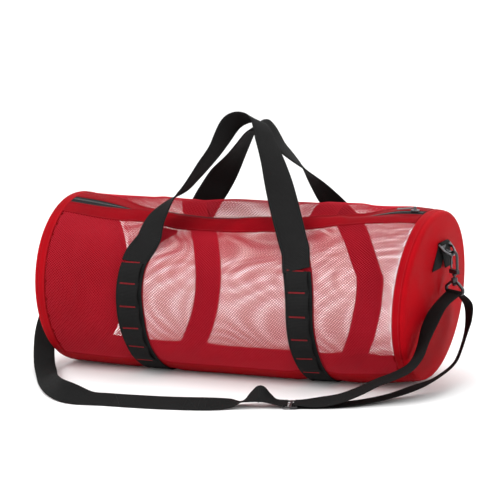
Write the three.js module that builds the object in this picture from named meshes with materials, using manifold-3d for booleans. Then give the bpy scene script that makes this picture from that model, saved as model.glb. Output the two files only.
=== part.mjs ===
// A mesh dive gear bag: a round net duffel with solid ends and base, a zip along its top, two
// webbing hoops that rise into carrying handles, and a shoulder strap on two swivel hooks.
// Millimetres, +Z up. +X runs along the bag, -Y is its front, and z = 0 is what it rests on.
import * as THREE from "three";
import Module from "manifold-3d";
import { mergeVertices } from "three/addons/utils/BufferGeometryUtils.js";

const wasm = await Module();
wasm.setup();

// Bag body
const BAG_RADIUS = 150;
const BAG_LENGTH = 682;
const BINDING_WIDTH = 14;
const CORNER_RADIUS = 8;
const END_DOME = 5;
const NET_THICKNESS = 1.5;
const PANEL_THICKNESS = 1.8;
const BINDING_THICKNESS = 2.2;
const SEAM_GAP = 0.4;
const LAYER_GAP = 0.6;

// Places round the hoop in degrees: 0 is the front, 90 the zip, 180 the back and 270 the bottom.
const ZIP_AT = 90;
const SLACK_DEGREES = 80;
const BASE_FRONT_AT = -52;
const BASE_BACK_AT = 237;
const LINES_MEET_AT = 240;
const LINE_STEP = 8;
const FULL_TURN = 360;

// Zip
const ZIP_TAPE_WIDTH = 22;
const ZIP_BAND_WIDTH = 35;
const COIL_WIDTH = 6;
const COIL_HEIGHT = 2;
const SLIDER_X = 312;
const SLIDER_LENGTH = 14;
const SLIDER_WIDTH = 10;
const SLIDER_HEIGHT = 3;
const PULL_LENGTH = 24;
const PULL_WIDTH = 6.5;
const PULL_THICKNESS = 1.4;
const PULL_PIN_RADIUS = 1;
const PULL_DROOP_DEGREES = 5;

// Webbing
const WEBBING_WIDTH = 50;
const WEBBING_THICKNESS = 2;
const LOOP_WIDTH = 38;
const LOOP_THICKNESS = 1.5;
const LOOP_PUFF = 4;
const LOOP_PITCH = 39;
const LOOP_COUNT = 5;
const TACK_HEIGHT = 213;
const HANDLE_HEIGHT = 455;
const INNER_BAND_WIDTH = 50;
const INNER_BAND_THICKNESS = 1.2;
const LEFT_HOOP_X = -158;
const RIGHT_HOOP_X = 165;

// Shoulder strap and its fittings
const STRAP_WIDTH = 38;
const STRAP_THICKNESS = 1.6;
const ANCHOR_THICKNESS = 1.6;
const ANCHOR_TOP = 247;
const ANCHOR_LEG_LENGTH = 46;
const ANCHOR_LEG_SPREAD = 26;
const RING_WIRE = 4;
const RING_DROP = 28;
const RING_HANGS_OUT = 0.95;
const HOOK_WIRE = 5;
const HOOK_WIDTH = 21;
const HOOK_LENGTH = 40;
const SWIVEL_RADIUS = 2;
const SWIVEL_LENGTH = 14;
const EYE_SLOT_WIDTH = 40;
const EYE_SLOT_HEIGHT = 13;
const EYE_WALL = 4.5;
const EYE_THICKNESS = 4;
const HOOK_TURNS = { left: -42, right: -32 };
const GLIDE_WALL = 4;
const GLIDE_SLOT = 6;
const GLIDE_THICKNESS = 2.4;
const GLIDE_TURN = 20;
const GLIDE_AT = [176, -221, 3.7];
const TAIL = 24;
const FIT = 0.3;

const HALF_LENGTH = BAG_LENGTH / 2;
const SHEET_END = HALF_LENGTH - BINDING_WIDTH;
const WEBBING_LIFT = LAYER_GAP + WEBBING_THICKNESS;
const HALF_TAPE_DEGREES = THREE.MathUtils.radToDeg(ZIP_TAPE_WIDTH / 2 / BAG_RADIUS);
const BAND_DEGREES = THREE.MathUtils.radToDeg(ZIP_BAND_WIDTH / BAG_RADIUS);
const NET_FRONT_TOP = ZIP_AT - HALF_TAPE_DEGREES - BAND_DEGREES;
const NET_BACK_TOP = ZIP_AT + HALF_TAPE_DEGREES + BAND_DEGREES;

// The hoops along the bag, from its left end to its right. Lengths are shares of BAG_RADIUS.
// rise lifts the hoop off the floor, fold is how deep the slack folds of the top are there,
// zip is the degrees that the zip lies towards the front, and tilt leans the hoop's top to +X.
const HOOPS = [
  { at: -1.0, radius: 1.02, rise: 0.0, fold: 0.0, zip: 14, tilt: 0.0 },
  { at: -0.82, radius: 1.015, rise: -0.02, fold: 0.08, zip: 15, tilt: 0.0 },
  { at: -0.46, radius: 1.015, rise: -0.04, fold: 0.85, zip: 16, tilt: 0.0 },
  { at: 0.0, radius: 1.015, rise: -0.04, fold: 1.0, zip: 17, tilt: 0.0 },
  { at: 0.48, radius: 1.02, rise: -0.04, fold: 0.8, zip: 14, tilt: 0.02 },
  { at: 0.82, radius: 1.01, rise: 0.0, fold: 0.2, zip: 9, tilt: 0.05 },
  { at: 1.0, radius: 0.965, rise: 0.05, fold: 0.0, zip: 6, tilt: 0.09 },
];

// The folds of the slack top, by degrees round the hoop: drop is a share of the hoop's radius.
const FOLDS = [
  { at: 20, drop: 0.0 },
  { at: 40, drop: 0.04 },
  { at: 56, drop: 0.11 },
  { at: 70, drop: 0.054 },
  { at: 77, drop: 0.158 },
  { at: 92, drop: 0.2 },
  { at: 107, drop: -0.02 },
  { at: 120, drop: -0.012 },
  { at: 135, drop: 0.0 },
];

// The two webbing hoops. The pull of the handles leans the upper part of each towards the
// middle: frontLean and backLean are shares of BAG_RADIUS near the top, and backCurve is how
// late the lean starts at the back.
const WEBBING_HOOPS = [
  { side: "left", x: LEFT_HOOP_X, frontLean: 0.25, backLean: 0.4, backCurve: 3 },
  { side: "right", x: RIGHT_HOOP_X, frontLean: -0.38, backLean: -0.2, backCurve: 0.6 },
];
const LEAN_TOP_DEGREES = 75;
const FRONT_CURVE = 1.6;

// The handles from the left tack to the right one. along is a share of half the distance
// between the hoops, depth a share of the tack's distance from the bag's middle, rise a share of
// the height from the tacks to the top, and turn how far the webbing has turned from lying
// flat on the bag, 0, to lying across the grip, 1.
const FRONT_HANDLE = [
  { at: 0.14, along: -0.83, depth: 0.91, rise: 0.145, turn: 0.09 },
  { at: 0.25, along: -0.79, depth: 0.785, rise: 0.275, turn: 0.24 },
  { at: 0.38, along: -0.65, depth: 0.65, rise: 0.41, turn: 0.45 },
  { at: 0.5, along: -0.51, depth: 0.565, rise: 0.495, turn: 0.61 },
  { at: 0.62, along: -0.345, depth: 0.43, rise: 0.65, turn: 0.73 },
  { at: 0.74, along: -0.235, depth: 0.33, rise: 0.76, turn: 0.8 },
  { at: 0.86, along: -0.155, depth: 0.22, rise: 0.88, turn: 0.96 },
  { at: 0.93, along: -0.085, depth: 0.155, rise: 0.95, turn: 1.0 },
  { at: 1.0, along: 0.05, depth: 0.13, rise: 0.983, turn: 0.98 },
  { at: 1.07, along: 0.22, depth: 0.16, rise: 0.955, turn: 0.88 },
  { at: 1.15, along: 0.34, depth: 0.265, rise: 0.83, turn: 0.76 },
  { at: 1.3, along: 0.485, depth: 0.41, rise: 0.665, turn: 0.6 },
  { at: 1.5, along: 0.65, depth: 0.61, rise: 0.44, turn: 0.32 },
  { at: 1.7, along: 0.805, depth: 0.8, rise: 0.23, turn: 0.12 },
  { at: 1.84, along: 0.9, depth: 0.92, rise: 0.115, turn: 0.04 },
];
const REAR_HANDLE = [
  { at: 0.2, along: -0.79, depth: 0.7, rise: 0.3, turn: 0.0 },
  { at: 0.34, along: -0.6, depth: 0.58, rise: 0.44, turn: 0.15 },
  { at: 0.5, along: -0.42, depth: 0.46, rise: 0.575, turn: 0.42 },
  { at: 0.64, along: -0.245, depth: 0.345, rise: 0.7, turn: 0.7 },
  { at: 0.8, along: -0.046, depth: 0.206, rise: 0.848, turn: 0.94 },
  { at: 0.9, along: 0.05, depth: 0.14, rise: 0.9, turn: 1.0 },
  { at: 0.97, along: 0.12, depth: 0.115, rise: 0.912, turn: 0.97 },
  { at: 1.04, along: 0.19, depth: 0.125, rise: 0.895, turn: 0.88 },
  { at: 1.14, along: 0.265, depth: 0.19, rise: 0.825, turn: 0.78 },
  { at: 1.26, along: 0.34, depth: 0.3, rise: 0.722, turn: 0.66 },
  { at: 1.42, along: 0.5, depth: 0.45, rise: 0.58, turn: 0.5 },
  { at: 1.62, along: 0.72, depth: 0.66, rise: 0.335, turn: 0.08 },
];
const FRONT_GRIP_ACROSS = new THREE.Vector3(0.2, 0.85, -0.45).normalize();
const REAR_GRIP_ACROSS = new THREE.Vector3(0.15, 0.95, 0.28).normalize();
const REAR_LEAVES_AT = 142;
const FRONT_LIES_DEGREES = 5;

// The shoulder strap's chosen route: x, y and z of its middle line, and ax, ay and az along its
// width. First the run from the left hook to the adjuster, then the strand up to the right
// hook, then the strand back down.
const STRAP_RUN = [
  { x: -374, y: -38, z: 118, ax: 0.9, ay: 0.44, az: 0 },
  { x: -380, y: -54, z: 84, ax: 0.88, ay: 0.46, az: -0.1 },
  { x: -377, y: -76, z: 58, ax: 0.83, ay: 0.45, az: -0.24 },
  { x: -367, y: -99, z: 37, ax: 0.84, ay: 0.45, az: -0.25 },
  { x: -349, y: -130, z: 18, ax: 0.86, ay: 0.5, az: -0.08 },
  { x: -318, y: -175, z: 10, ax: 0.8, ay: 0.57, az: 0.2 },
  { x: -283, y: -228, z: 14, ax: 0.65, ay: 0.55, az: 0.5 },
  { x: -243, y: -279, z: 18, ax: 0.4, ay: 0.5, az: 0.78 },
  { x: -211, y: -305, z: 18, ax: 0.2, ay: 0.42, az: 0.88 },
  { x: -184, y: -309, z: 14, ax: 0.0, ay: 0.74, az: 0.67 },
  { x: -158, y: -304, z: 8.5, ax: -0.08, ay: 0.93, az: 0.36 },
  { x: -130, y: -299, z: 7.4, ax: -0.07, ay: 0.94, az: 0.33 },
  { x: -80, y: -296, z: 7.4, ax: -0.09, ay: 0.94, az: 0.33 },
  { x: -12, y: -288, z: 7.4, ax: -0.16, ay: 0.93, az: 0.33 },
  { x: 53, y: -273, z: 7.4, ax: -0.29, ay: 0.9, az: 0.33 },
  { x: 84, y: -257, z: 7.4, ax: -0.45, ay: 0.88, az: 0.14 },
  { x: 100, y: -249, z: 9, ax: -0.36, ay: 0.92, az: -0.18 },
  { x: 115, y: -243, z: 17, ax: -0.42, ay: 0.88, az: 0.22 },
  { x: 128, y: -239, z: 22, ax: -0.23, ay: 0.79, az: 0.57 },
  { x: 141, y: -234, z: 15, ax: -0.25, ay: 0.95, az: 0.18 },
  { x: 152, y: -230, z: 8.5, ax: -0.34, ay: 0.94, az: 0 },
];
const STRAP_UP = [
  { x: 222, y: -208, z: 8, ax: -0.35, ay: 0.9, az: 0.2 },
  { x: 254, y: -196, z: 14, ax: -0.3, ay: 0.93, az: 0.2 },
  { x: 283, y: -180, z: 25, ax: -0.3, ay: 0.93, az: 0.2 },
  { x: 307, y: -165, z: 37, ax: 0.52, ay: -0.85, az: -0.08 },
  { x: 330, y: -153, z: 46, ax: 0.51, ay: -0.85, az: -0.08 },
  { x: 350, y: -141, z: 56, ax: 0.68, ay: -0.74, az: 0.01 },
  { x: 361, y: -124, z: 70, ax: 0.78, ay: -0.57, az: 0.26 },
  { x: 365, y: -104, z: 92, ax: 0.78, ay: -0.52, az: 0.34 },
  { x: 368, y: -82, z: 118, ax: 0.9, ay: -0.37, az: 0.23 },
  { x: 373, y: -54, z: 142, ax: 0.91, ay: -0.35, az: 0.21 },
];
const STRAP_DOWN = [
  { x: 388, y: 34, z: 142, ax: 0.75, ay: -0.65, az: 0 },
  { x: 388, y: 52, z: 116, ax: 0.6, ay: -0.8, az: 0 },
  { x: 386, y: 52, z: 92, ax: 0.5, ay: -0.85, az: 0 },
  { x: 384, y: 36, z: 68, ax: 0.5, ay: -0.75, az: 0.45 },
  { x: 383, y: 10, z: 48, ax: 0.57, ay: -0.43, az: 0.7 },
  { x: 381, y: -30, z: 36, ax: 0.8, ay: -0.15, az: 0.58 },
  { x: 373, y: -70, z: 28, ax: 0.81, ay: -0.44, az: 0.38 },
  { x: 352, y: -105, z: 19, ax: 0.7, ay: -0.7, az: 0.1 },
  { x: 322, y: -138, z: 10, ax: 0.65, ay: -0.75, az: 0.08 },
  { x: 284, y: -170, z: 4, ax: 0.6, ay: -0.8, az: 0.04 },
  { x: 246, y: -194, z: 1.4, ax: 0.5, ay: -0.86, az: 0 },
  { x: 218, y: -207, z: 1.1, ax: 0.42, ay: -0.9, az: 0 },
];

const clothRed = { color: 0xa80f1c, roughness: 0.72, metalness: 0 };
const MATERIALS = {
  net: new THREE.MeshStandardMaterial({ color: 0xb4193a, roughness: 0.8, metalness: 0 }),
  panel: new THREE.MeshStandardMaterial(clothRed),
  band: new THREE.MeshStandardMaterial({ color: 0x8a1822, roughness: 0.75, metalness: 0 }),
  webbing: new THREE.MeshStandardMaterial({ color: 0x232424, roughness: 0.85, metalness: 0 }),
  zip: new THREE.MeshStandardMaterial({ color: 0x161617, roughness: 0.6, metalness: 0 }),
  plastic: new THREE.MeshStandardMaterial({ color: 0x19191b, roughness: 0.4, metalness: 0 }),
  metal: new THREE.MeshStandardMaterial({ color: 0x55565a, roughness: 0.35, metalness: 1 }),
};

const bag = new THREE.Group();

// Adds a piece to the bag under its name.
function add(name, geometry, material, place = null) {
  const mesh = new THREE.Mesh(geometry, MATERIALS[material]);
  mesh.name = name;
  if (place) mesh.applyMatrix4(place);
  bag.add(mesh);
  return mesh;
}

// A column of a table, read on a smooth curve through its rows.
function column(table, name, at) {
  const last = table.length - 1;
  if (at <= table[0].at) return table[0][name];
  if (at >= table[last].at) return table[last][name];
  const i = table.findIndex((row) => row.at > at) - 1;
  const span = table[i + 1].at - table[i].at;
  const slope = (j) => {
    const before = table[Math.max(j - 1, 0)];
    const after = table[Math.min(j + 1, last)];
    return ((after[name] - before[name]) / (after.at - before.at)) * span;
  };
  const k = (at - table[i].at) / span;
  const start = 2 * k ** 3 - 3 * k ** 2 + 1;
  return (
    start * table[i][name] +
    (1 - start) * table[i + 1][name] +
    (k ** 3 - 2 * k ** 2 + k) * slope(i) +
    (k ** 3 - k ** 2) * slope(i + 1)
  );
}

const SETTLE = 0.02 * BAG_RADIUS;

// The height of cloth that rests on the floor where it would otherwise hang below it.
function settled(z) {
  if (z <= -SETTLE) return 0;
  return z >= SETTLE ? z : (z + SETTLE) ** 2 / (4 * SETTLE);
}

// How far the bag is held off the floor by the webbing that runs under it.
function webbingLift(x) {
  const flat = WEBBING_WIDTH / 2 + 3;
  const ramp = WEBBING_WIDTH / 2;
  const near = Math.min(...WEBBING_HOOPS.map((hoop) => Math.abs(x - hoop.x)));
  const k = THREE.MathUtils.clamp((near - flat) / ramp, 0, 1);
  return WEBBING_LIFT * (1 - k * k * (3 - 2 * k));
}

// The degrees round the section of a place on the cloth, whose zip lies towards the front.
function sectionDegrees(share, degrees) {
  const away = Math.min(Math.abs(degrees - ZIP_AT) / SLACK_DEGREES, 1);
  const near = Math.cos((away * Math.PI) / 2) ** 2;
  return degrees - column(HOOPS, "zip", share) * near;
}

// A point of the bag's outer surface.
function surfacePoint(x, degrees) {
  const share = x / HALF_LENGTH;
  const radius = BAG_RADIUS * column(HOOPS, "radius", share);
  const section = sectionDegrees(share, degrees);
  const drop = column(HOOPS, "fold", share) * column(FOLDS, "drop", section);
  const t = THREE.MathUtils.degToRad(section);
  const reach = radius * (1 - drop);
  const middle = radius + BAG_RADIUS * column(HOOPS, "rise", share);
  const z = settled(middle + reach * Math.sin(t)) + webbingLift(x);
  const lean = column(HOOPS, "tilt", share) * (z - BAG_RADIUS);
  return new THREE.Vector3(x + lean, -reach * Math.cos(t), z);
}

// The outward normal of the bag there.
function surfaceNormal(x, degrees) {
  const step = 1.5;
  const round = surfacePoint(x, degrees + step).sub(surfacePoint(x, degrees - step));
  const along = surfacePoint(x + step, degrees).sub(surfacePoint(x - step, degrees));
  return along.cross(round).normalize();
}

// A point that stands proud of the bag's surface, or inside it where proud is negative.
function bagPoint(x, degrees, proud = 0) {
  return surfacePoint(x, degrees).addScaledVector(surfaceNormal(x, degrees), proud);
}

// Numbers from low to high with all the round ones between them, so that layers of cloth bend
// along the same lines. The slack top has its lines closer together.
function bendLines(low, high) {
  const lines = [];
  const first = LINES_MEET_AT - FULL_TURN - LINE_STEP;
  for (let d = first; d <= LINES_MEET_AT; d += LINE_STEP) {
    lines.push(d);
    if (d >= 32 && d < 136) lines.push(d + LINE_STEP / 2);
  }
  return [low, ...lines.filter((d) => d > low + 1 && d < high - 1), high];
}

// Stations along the bag, with more of them where the webbing lifts it.
function stations(low, high) {
  const hoops = WEBBING_HOOPS.map((hoop) => hoop.x);
  const steps = [-53, -28, 28, 53];
  const near = hoops.flatMap((x) => steps.map((step) => x + step));
  const far = [-0.82, -0.24, 0, 0.24, 0.82, 0.92].map((s) => s * HALF_LENGTH);
  const all = [...near, ...far].sort((a, b) => a - b);
  const kept = all.filter((x, i) => i === 0 || x - all[i - 1] > 8);
  return [low, ...kept.filter((x) => x > low + 6 && x < high - 6), high];
}

// A closed solid from the corners of its triangles, turned so that its faces point out.
function solid(corners) {
  const kept = [];
  let volume = 0;
  for (let i = 0; i < corners.length; i += 3) {
    const [a, b, c] = corners.slice(i, i + 3);
    if (a.distanceTo(b) < 1e-4 || b.distanceTo(c) < 1e-4 || c.distanceTo(a) < 1e-4) continue;
    volume += a.dot(b.clone().cross(c));
    kept.push([a, b, c]);
  }
  const turned = volume < 0 ? kept.map(([a, b, c]) => [a, c, b]) : kept;
  return new THREE.BufferGeometry().setFromPoints(turned.flat());
}

// A closed wall between an outer and an inner grid of points, or a ring where it goes around.
function wall(outer, inner, around = false) {
  const corners = [];
  const quad = (a, b, c, d) => corners.push(a, b, c, a, c, d);
  const rows = outer.length - 1;
  const points = outer[0].length;
  const steps = around ? points : points - 1;
  for (let j = 0; j < steps; j++) {
    const k = (j + 1) % points;
    for (let i = 0; i < rows; i++) {
      quad(outer[i][j], outer[i + 1][j], outer[i + 1][k], outer[i][k]);
      quad(inner[i][j], inner[i][k], inner[i + 1][k], inner[i + 1][j]);
    }
    quad(outer[0][j], outer[0][k], inner[0][k], inner[0][j]);
    quad(outer[rows][j], inner[rows][j], inner[rows][k], outer[rows][k]);
  }
  for (let i = 0; i < rows && !around; i++) {
    quad(outer[i][0], inner[i][0], inner[i + 1][0], outer[i + 1][0]);
    quad(outer[i][steps], outer[i + 1][steps], inner[i + 1][steps], inner[i][steps]);
  }
  return solid(corners);
}

// Cloth that follows the bag between two stations and two places round the hoop.
function clothPanel(xs, degrees, outerProud, thickness) {
  const grid = (proud) => xs.map((x) => degrees.map((d) => bagPoint(x, d, proud(d))));
  const depth = (d) => outerProud(d) - thickness;
  return wall(grid(outerProud), grid(depth));
}

// A flat strip through places that each give its middle, its width's direction and its face.
function ribbon(places, width, thickness) {
  const row = ({ at, across, out }, proud) =>
    [-0.5, 0.5].map((s) =>
      at
        .clone()
        .addScaledVector(across, s * width)
        .addScaledVector(out, proud),
    );
  return wall(
    places.map((place) => row(place, thickness / 2)),
    places.map((place) => row(place, -thickness / 2)),
  );
}

// A bar of round section along points that lie in one plane.
function bar(points, planeNormal, radius, sides, closed = false) {
  const count = points.length;
  const rings = points.map((p, i) => {
    const before = points[closed ? (i + count - 1) % count : Math.max(i - 1, 0)];
    const after = points[closed ? (i + 1) % count : Math.min(i + 1, count - 1)];
    const side = after.clone().sub(before).normalize().cross(planeNormal);
    return Array.from({ length: sides }, (_, k) => {
      const turn = (2 * Math.PI * (k + 0.5)) / sides;
      return p
        .clone()
        .addScaledVector(planeNormal, radius * Math.cos(turn))
        .addScaledVector(side, radius * Math.sin(turn));
    });
  });
  const corners = [];
  for (let i = 0; i < (closed ? count : count - 1); i++) {
    const next = rings[(i + 1) % count];
    for (let k = 0; k < sides; k++) {
      const m = (k + 1) % sides;
      corners.push(rings[i][k], next[k], next[m], rings[i][k], next[m], rings[i][m]);
    }
  }
  for (let k = 1; k < sides - 1 && !closed; k++) {
    const last = rings[count - 1];
    corners.push(rings[0][0], rings[0][k], rings[0][k + 1]);
    corners.push(last[0], last[k + 1], last[k]);
  }
  return solid(corners);
}

function manifoldOf(geometry) {
  const bare = geometry.clone();
  bare.deleteAttribute("normal");
  bare.deleteAttribute("uv");
  const merged = mergeVertices(bare, 1e-3);
  return new wasm.Manifold(
    new wasm.Mesh({
      numProp: 3,
      vertProperties: merged.attributes.position.array,
      triVerts: new Uint32Array(merged.index.array),
    }),
  );
}

function geometryOf(shape) {
  const mesh = shape.getMesh();
  return new THREE.BufferGeometry()
    .setAttribute("position", new THREE.BufferAttribute(mesh.vertProperties, 3))
    .setIndex(new THREE.BufferAttribute(mesh.triVerts, 1));
}

const fuse = (first, ...rest) =>
  geometryOf(rest.reduce((shape, piece) => shape.add(manifoldOf(piece)), manifoldOf(first)));
const cut = (piece, tool) => geometryOf(manifoldOf(piece).subtract(manifoldOf(tool)));

// A block from its size and the place of its middle.
function block(width, depth, height, x = 0, y = 0, z = 0) {
  return new THREE.BoxGeometry(width, depth, height).translate(x, y, z);
}

// A round post that stands along z.
function post(radius, height, x, y, z, sides = 12) {
  return new THREE.CylinderGeometry(radius, radius, height, sides)
    .rotateX(Math.PI / 2)
    .translate(x, y, z);
}

// Net, base and zip
const sheetStations = stations(-SHEET_END, SHEET_END);
const seamDegrees = THREE.MathUtils.radToDeg(SEAM_GAP / BAG_RADIUS);
const flush = () => 0;
const zipFront = ZIP_AT - HALF_TAPE_DEGREES;
const zipBack = ZIP_AT + HALF_TAPE_DEGREES;
const sheets = [
  ["net_front", BASE_FRONT_AT, NET_FRONT_TOP, NET_THICKNESS, "net"],
  ["zip_band_front", NET_FRONT_TOP, zipFront, PANEL_THICKNESS, "panel"],
  ["zip_band_back", zipBack, NET_BACK_TOP, PANEL_THICKNESS, "panel"],
  ["net_back", NET_BACK_TOP, BASE_BACK_AT, NET_THICKNESS, "net"],
  ["base_panel", BASE_BACK_AT - FULL_TURN, BASE_FRONT_AT, PANEL_THICKNESS, "panel"],
];
for (const [name, from, to, thickness, material] of sheets) {
  const lines = bendLines(from + seamDegrees / 2, to - seamDegrees / 2);
  add(name, clothPanel(sheetStations, lines, flush, thickness), material);
}

const halfCoil = THREE.MathUtils.radToDeg(COIL_WIDTH / 2 / BAG_RADIUS);
const coilProud = (d) => (Math.abs(d - ZIP_AT) < halfCoil + 0.01 ? COIL_HEIGHT / 2 : 0);
const tapeLines = [
  zipFront + seamDegrees / 2,
  ZIP_AT - halfCoil - seamDegrees,
  ZIP_AT - halfCoil,
  ZIP_AT + halfCoil,
  ZIP_AT + halfCoil + seamDegrees,
  zipBack - seamDegrees / 2,
];
add("zip_tape", clothPanel(sheetStations, tapeLines, coilProud, NET_THICKNESS), "zip");

// A frame on the bag with x along it, z out of it and its origin proud of the surface.
function frameOn(x, degrees, proud) {
  const out = surfaceNormal(x, degrees);
  const along = surfacePoint(x + 2, degrees).sub(surfacePoint(x - 2, degrees));
  along.addScaledVector(out, -along.dot(out)).normalize();
  const side = out.clone().cross(along);
  return new THREE.Matrix4()
    .makeBasis(along, side, out)
    .setPosition(bagPoint(x, degrees, proud));
}

const pullEye = PULL_PIN_RADIUS + 0.4;
const pullRise = SLIDER_HEIGHT + pullEye + PULL_THICKNESS + FIT;
const sliderFrame = frameOn(SLIDER_X, ZIP_AT, COIL_HEIGHT / 2 + LAYER_GAP);
function zipSlider() {
  const nose = SLIDER_LENGTH / 2;
  const half = SLIDER_WIDTH / 2;
  const outline = new THREE.Shape([
    new THREE.Vector2(-nose, -half * 0.6),
    new THREE.Vector2(nose * 0.3, -half),
    new THREE.Vector2(nose, -half * 0.7),
    new THREE.Vector2(nose, half * 0.7),
    new THREE.Vector2(nose * 0.3, half),
    new THREE.Vector2(-nose, half * 0.6),
  ]);
  const plate = new THREE.ExtrudeGeometry(outline, { depth: SLIDER_HEIGHT, bevelEnabled: false });
  const lugY = PULL_WIDTH / 4 + 1;
  const lug = (side) => {
    const height = pullRise + PULL_PIN_RADIUS + 0.4 - SLIDER_HEIGHT / 2;
    return block(3.4, 1.2, height, 0, side * lugY, SLIDER_HEIGHT / 2 + height / 2);
  };
  const pin = new THREE.CylinderGeometry(PULL_PIN_RADIUS, PULL_PIN_RADIUS, 2 * lugY, 10);
  return fuse(plate, lug(-1), lug(1), pin.translate(0, 0, pullRise));
}
add("zip_slider", zipSlider(), "metal", sliderFrame);

// The pull swings on the slider's pin, which is its own origin, and lies towards -X.
function zipPull() {
  const reach = pullEye + PULL_THICKNESS;
  const neck = PULL_WIDTH / 2 - 0.6;
  const collar = new THREE.CylinderGeometry(reach, reach, neck, 14);
  const bore = new THREE.CylinderGeometry(pullEye, pullEye, 2 * PULL_WIDTH, 14);
  const stem = block(SLIDER_LENGTH / 2, neck, PULL_THICKNESS, -SLIDER_LENGTH / 4 - pullEye, 0, 0);
  const tabX = -SLIDER_LENGTH / 2 - PULL_LENGTH / 2;
  const tab = block(PULL_LENGTH, PULL_WIDTH, PULL_THICKNESS, tabX, 0, 0);
  return cut(fuse(collar, stem, tab), bore);
}
const droop = new THREE.Matrix4().makeRotationY(-THREE.MathUtils.degToRad(PULL_DROOP_DEGREES));
const pullFrame = sliderFrame.clone().multiply(droop.setPosition(0, 0, pullRise));
add("zip_pull", zipPull(), "metal", pullFrame);

// Ends
// The rim of an end at a place round it, as a point with its middle.
function endRim(side, degrees) {
  const x = side * HALF_LENGTH;
  const middle = surfacePoint(x, 0).add(surfacePoint(x, 180)).multiplyScalar(0.5);
  return { rim: surfacePoint(x, degrees), middle };
}

// Rings of an end from its rim to its middle, cloth depth inwards of its outer face.
function endGrid(side, degrees, depth) {
  const rings = [];
  for (const turn of [0, 45, 90]) {
    const t = THREE.MathUtils.degToRad(turn);
    const inward = CORNER_RADIUS - (CORNER_RADIUS - depth) * Math.cos(t);
    rings.push({ inward, out: (CORNER_RADIUS - depth) * Math.sin(t) });
  }
  const flat = BAG_RADIUS - CORNER_RADIUS;
  for (const share of [0.7, 0.35, 0]) {
    const inward = BAG_RADIUS - share * flat;
    rings.push({ inward, out: CORNER_RADIUS - depth + END_DOME * (1 - share * share) });
  }
  return rings.map(({ inward, out }) =>
    degrees.map((d) => {
      const { rim, middle } = endRim(side, d);
      const share = 1 - inward / BAG_RADIUS;
      const point = middle.clone().lerp(rim, share);
      return point.add(new THREE.Vector3(side * (SEAM_GAP + out), 0, 0));
    }),
  );
}

const ringLines = bendLines(-128, 232 - 8);
for (const [side, name] of [[-1, "left"], [1, "right"]]) {
  const grid = endGrid(side, ringLines, 0);
  add("end_panel_" + name, wall(grid, endGrid(side, ringLines, PANEL_THICKNESS), true), "panel");
  const xs = [SHEET_END + SEAM_GAP, HALF_LENGTH];
  const ring = (proud) => xs.map((x) => ringLines.map((d) => bagPoint(side * x, d, proud)));
  add("end_binding_" + name, wall(ring(0), ring(-BINDING_THICKNESS), true), "panel");
}

// Webbing hoops, the red bands inside them, and the gear loops on their fronts
// The lean of a hoop towards the bag's middle, by its place round the section.
function hoopX(hoop, degrees) {
  const front = degrees <= ZIP_AT;
  const height = Math.max(front ? degrees : 180 - degrees, 0);
  const share = Math.min(height / LEAN_TOP_DEGREES, 1);
  const lean = front
    ? hoop.frontLean * share ** FRONT_CURVE
    : hoop.backLean * share ** hoop.backCurve;
  return hoop.x + BAG_RADIUS * lean;
}

// A strip of webbing on the bag, as wide as it is cut, with its inner face proud of the cloth.
function stripOn(hoop, degrees, width, thickness, innerProud) {
  const grid = (extra) =>
    degrees.map((d) =>
      [-0.5, 0.5].map((s) => bagPoint(hoopX(hoop, d) + s * width, d, innerProud(d) + extra)),
    );
  return wall(grid(thickness), grid(0));
}

const tackSine = (TACK_HEIGHT - BAG_RADIUS) / BAG_RADIUS;
const FRONT_TACK_AT = THREE.MathUtils.radToDeg(Math.asin(Math.min(tackSine, 0.9)));
const BACK_TACK_AT = 180 - FRONT_TACK_AT;
const loopStep = THREE.MathUtils.radToDeg(LOOP_PITCH / BAG_RADIUS);

// The gear loops' standing off the webbing: down at each tack and puffed out between them.
function puff(degrees) {
  const share = (FRONT_TACK_AT - degrees) / loopStep;
  return WEBBING_LIFT + LAYER_GAP + LOOP_PUFF * Math.sin(Math.PI * share) ** 2;
}

for (const hoop of WEBBING_HOOPS) {
  const underside = [
    ...bendLines(BACK_TACK_AT, LINES_MEET_AT),
    ...bendLines(LINES_MEET_AT - FULL_TURN, FRONT_TACK_AT - seamDegrees).slice(1),
  ];
  add(
    "webbing_" + hoop.side,
    stripOn(hoop, underside, WEBBING_WIDTH, WEBBING_THICKNESS, () => LAYER_GAP),
    "webbing",
  );
  const inside = (d) => {
    const slack = Math.max(1 - Math.abs(d - ZIP_AT) / SLACK_DEGREES, 0);
    return -PANEL_THICKNESS - LAYER_GAP * (1 + 2 * slack) - INNER_BAND_THICKNESS;
  };
  const bandLines = [
    ...bendLines(NET_BACK_TOP, LINES_MEET_AT),
    ...bendLines(LINES_MEET_AT - FULL_TURN, NET_FRONT_TOP).slice(1),
  ];
  add(
    "inner_band_" + hoop.side,
    stripOn(hoop, bandLines, INNER_BAND_WIDTH, INNER_BAND_THICKNESS, inside),
    "band",
  );
  const loopLines = [];
  for (let i = 0; i <= 4 * LOOP_COUNT; i++) loopLines.push(FRONT_TACK_AT - (i * loopStep) / 4);
  const loops = stripOn(hoop, loopLines, LOOP_WIDTH, LOOP_THICKNESS, puff);
  add("gear_loops_" + hoop.side, loops, "webbing");
}

// Handles
// The place of the webbing's middle where it lies on the bag, with its directions.
function lyingOn(hoop, degrees) {
  const x = hoopX(hoop, degrees);
  const half = WEBBING_WIDTH / 2;
  const out = surfaceNormal(x, degrees);
  const across = surfacePoint(x + half, degrees).sub(surfacePoint(x - half, degrees));
  across.addScaledVector(out, -across.dot(out)).normalize();
  const proud = 1.5 * LAYER_GAP + WEBBING_THICKNESS / 2;
  return { at: bagPoint(x, degrees, proud), across, out };
}

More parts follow.
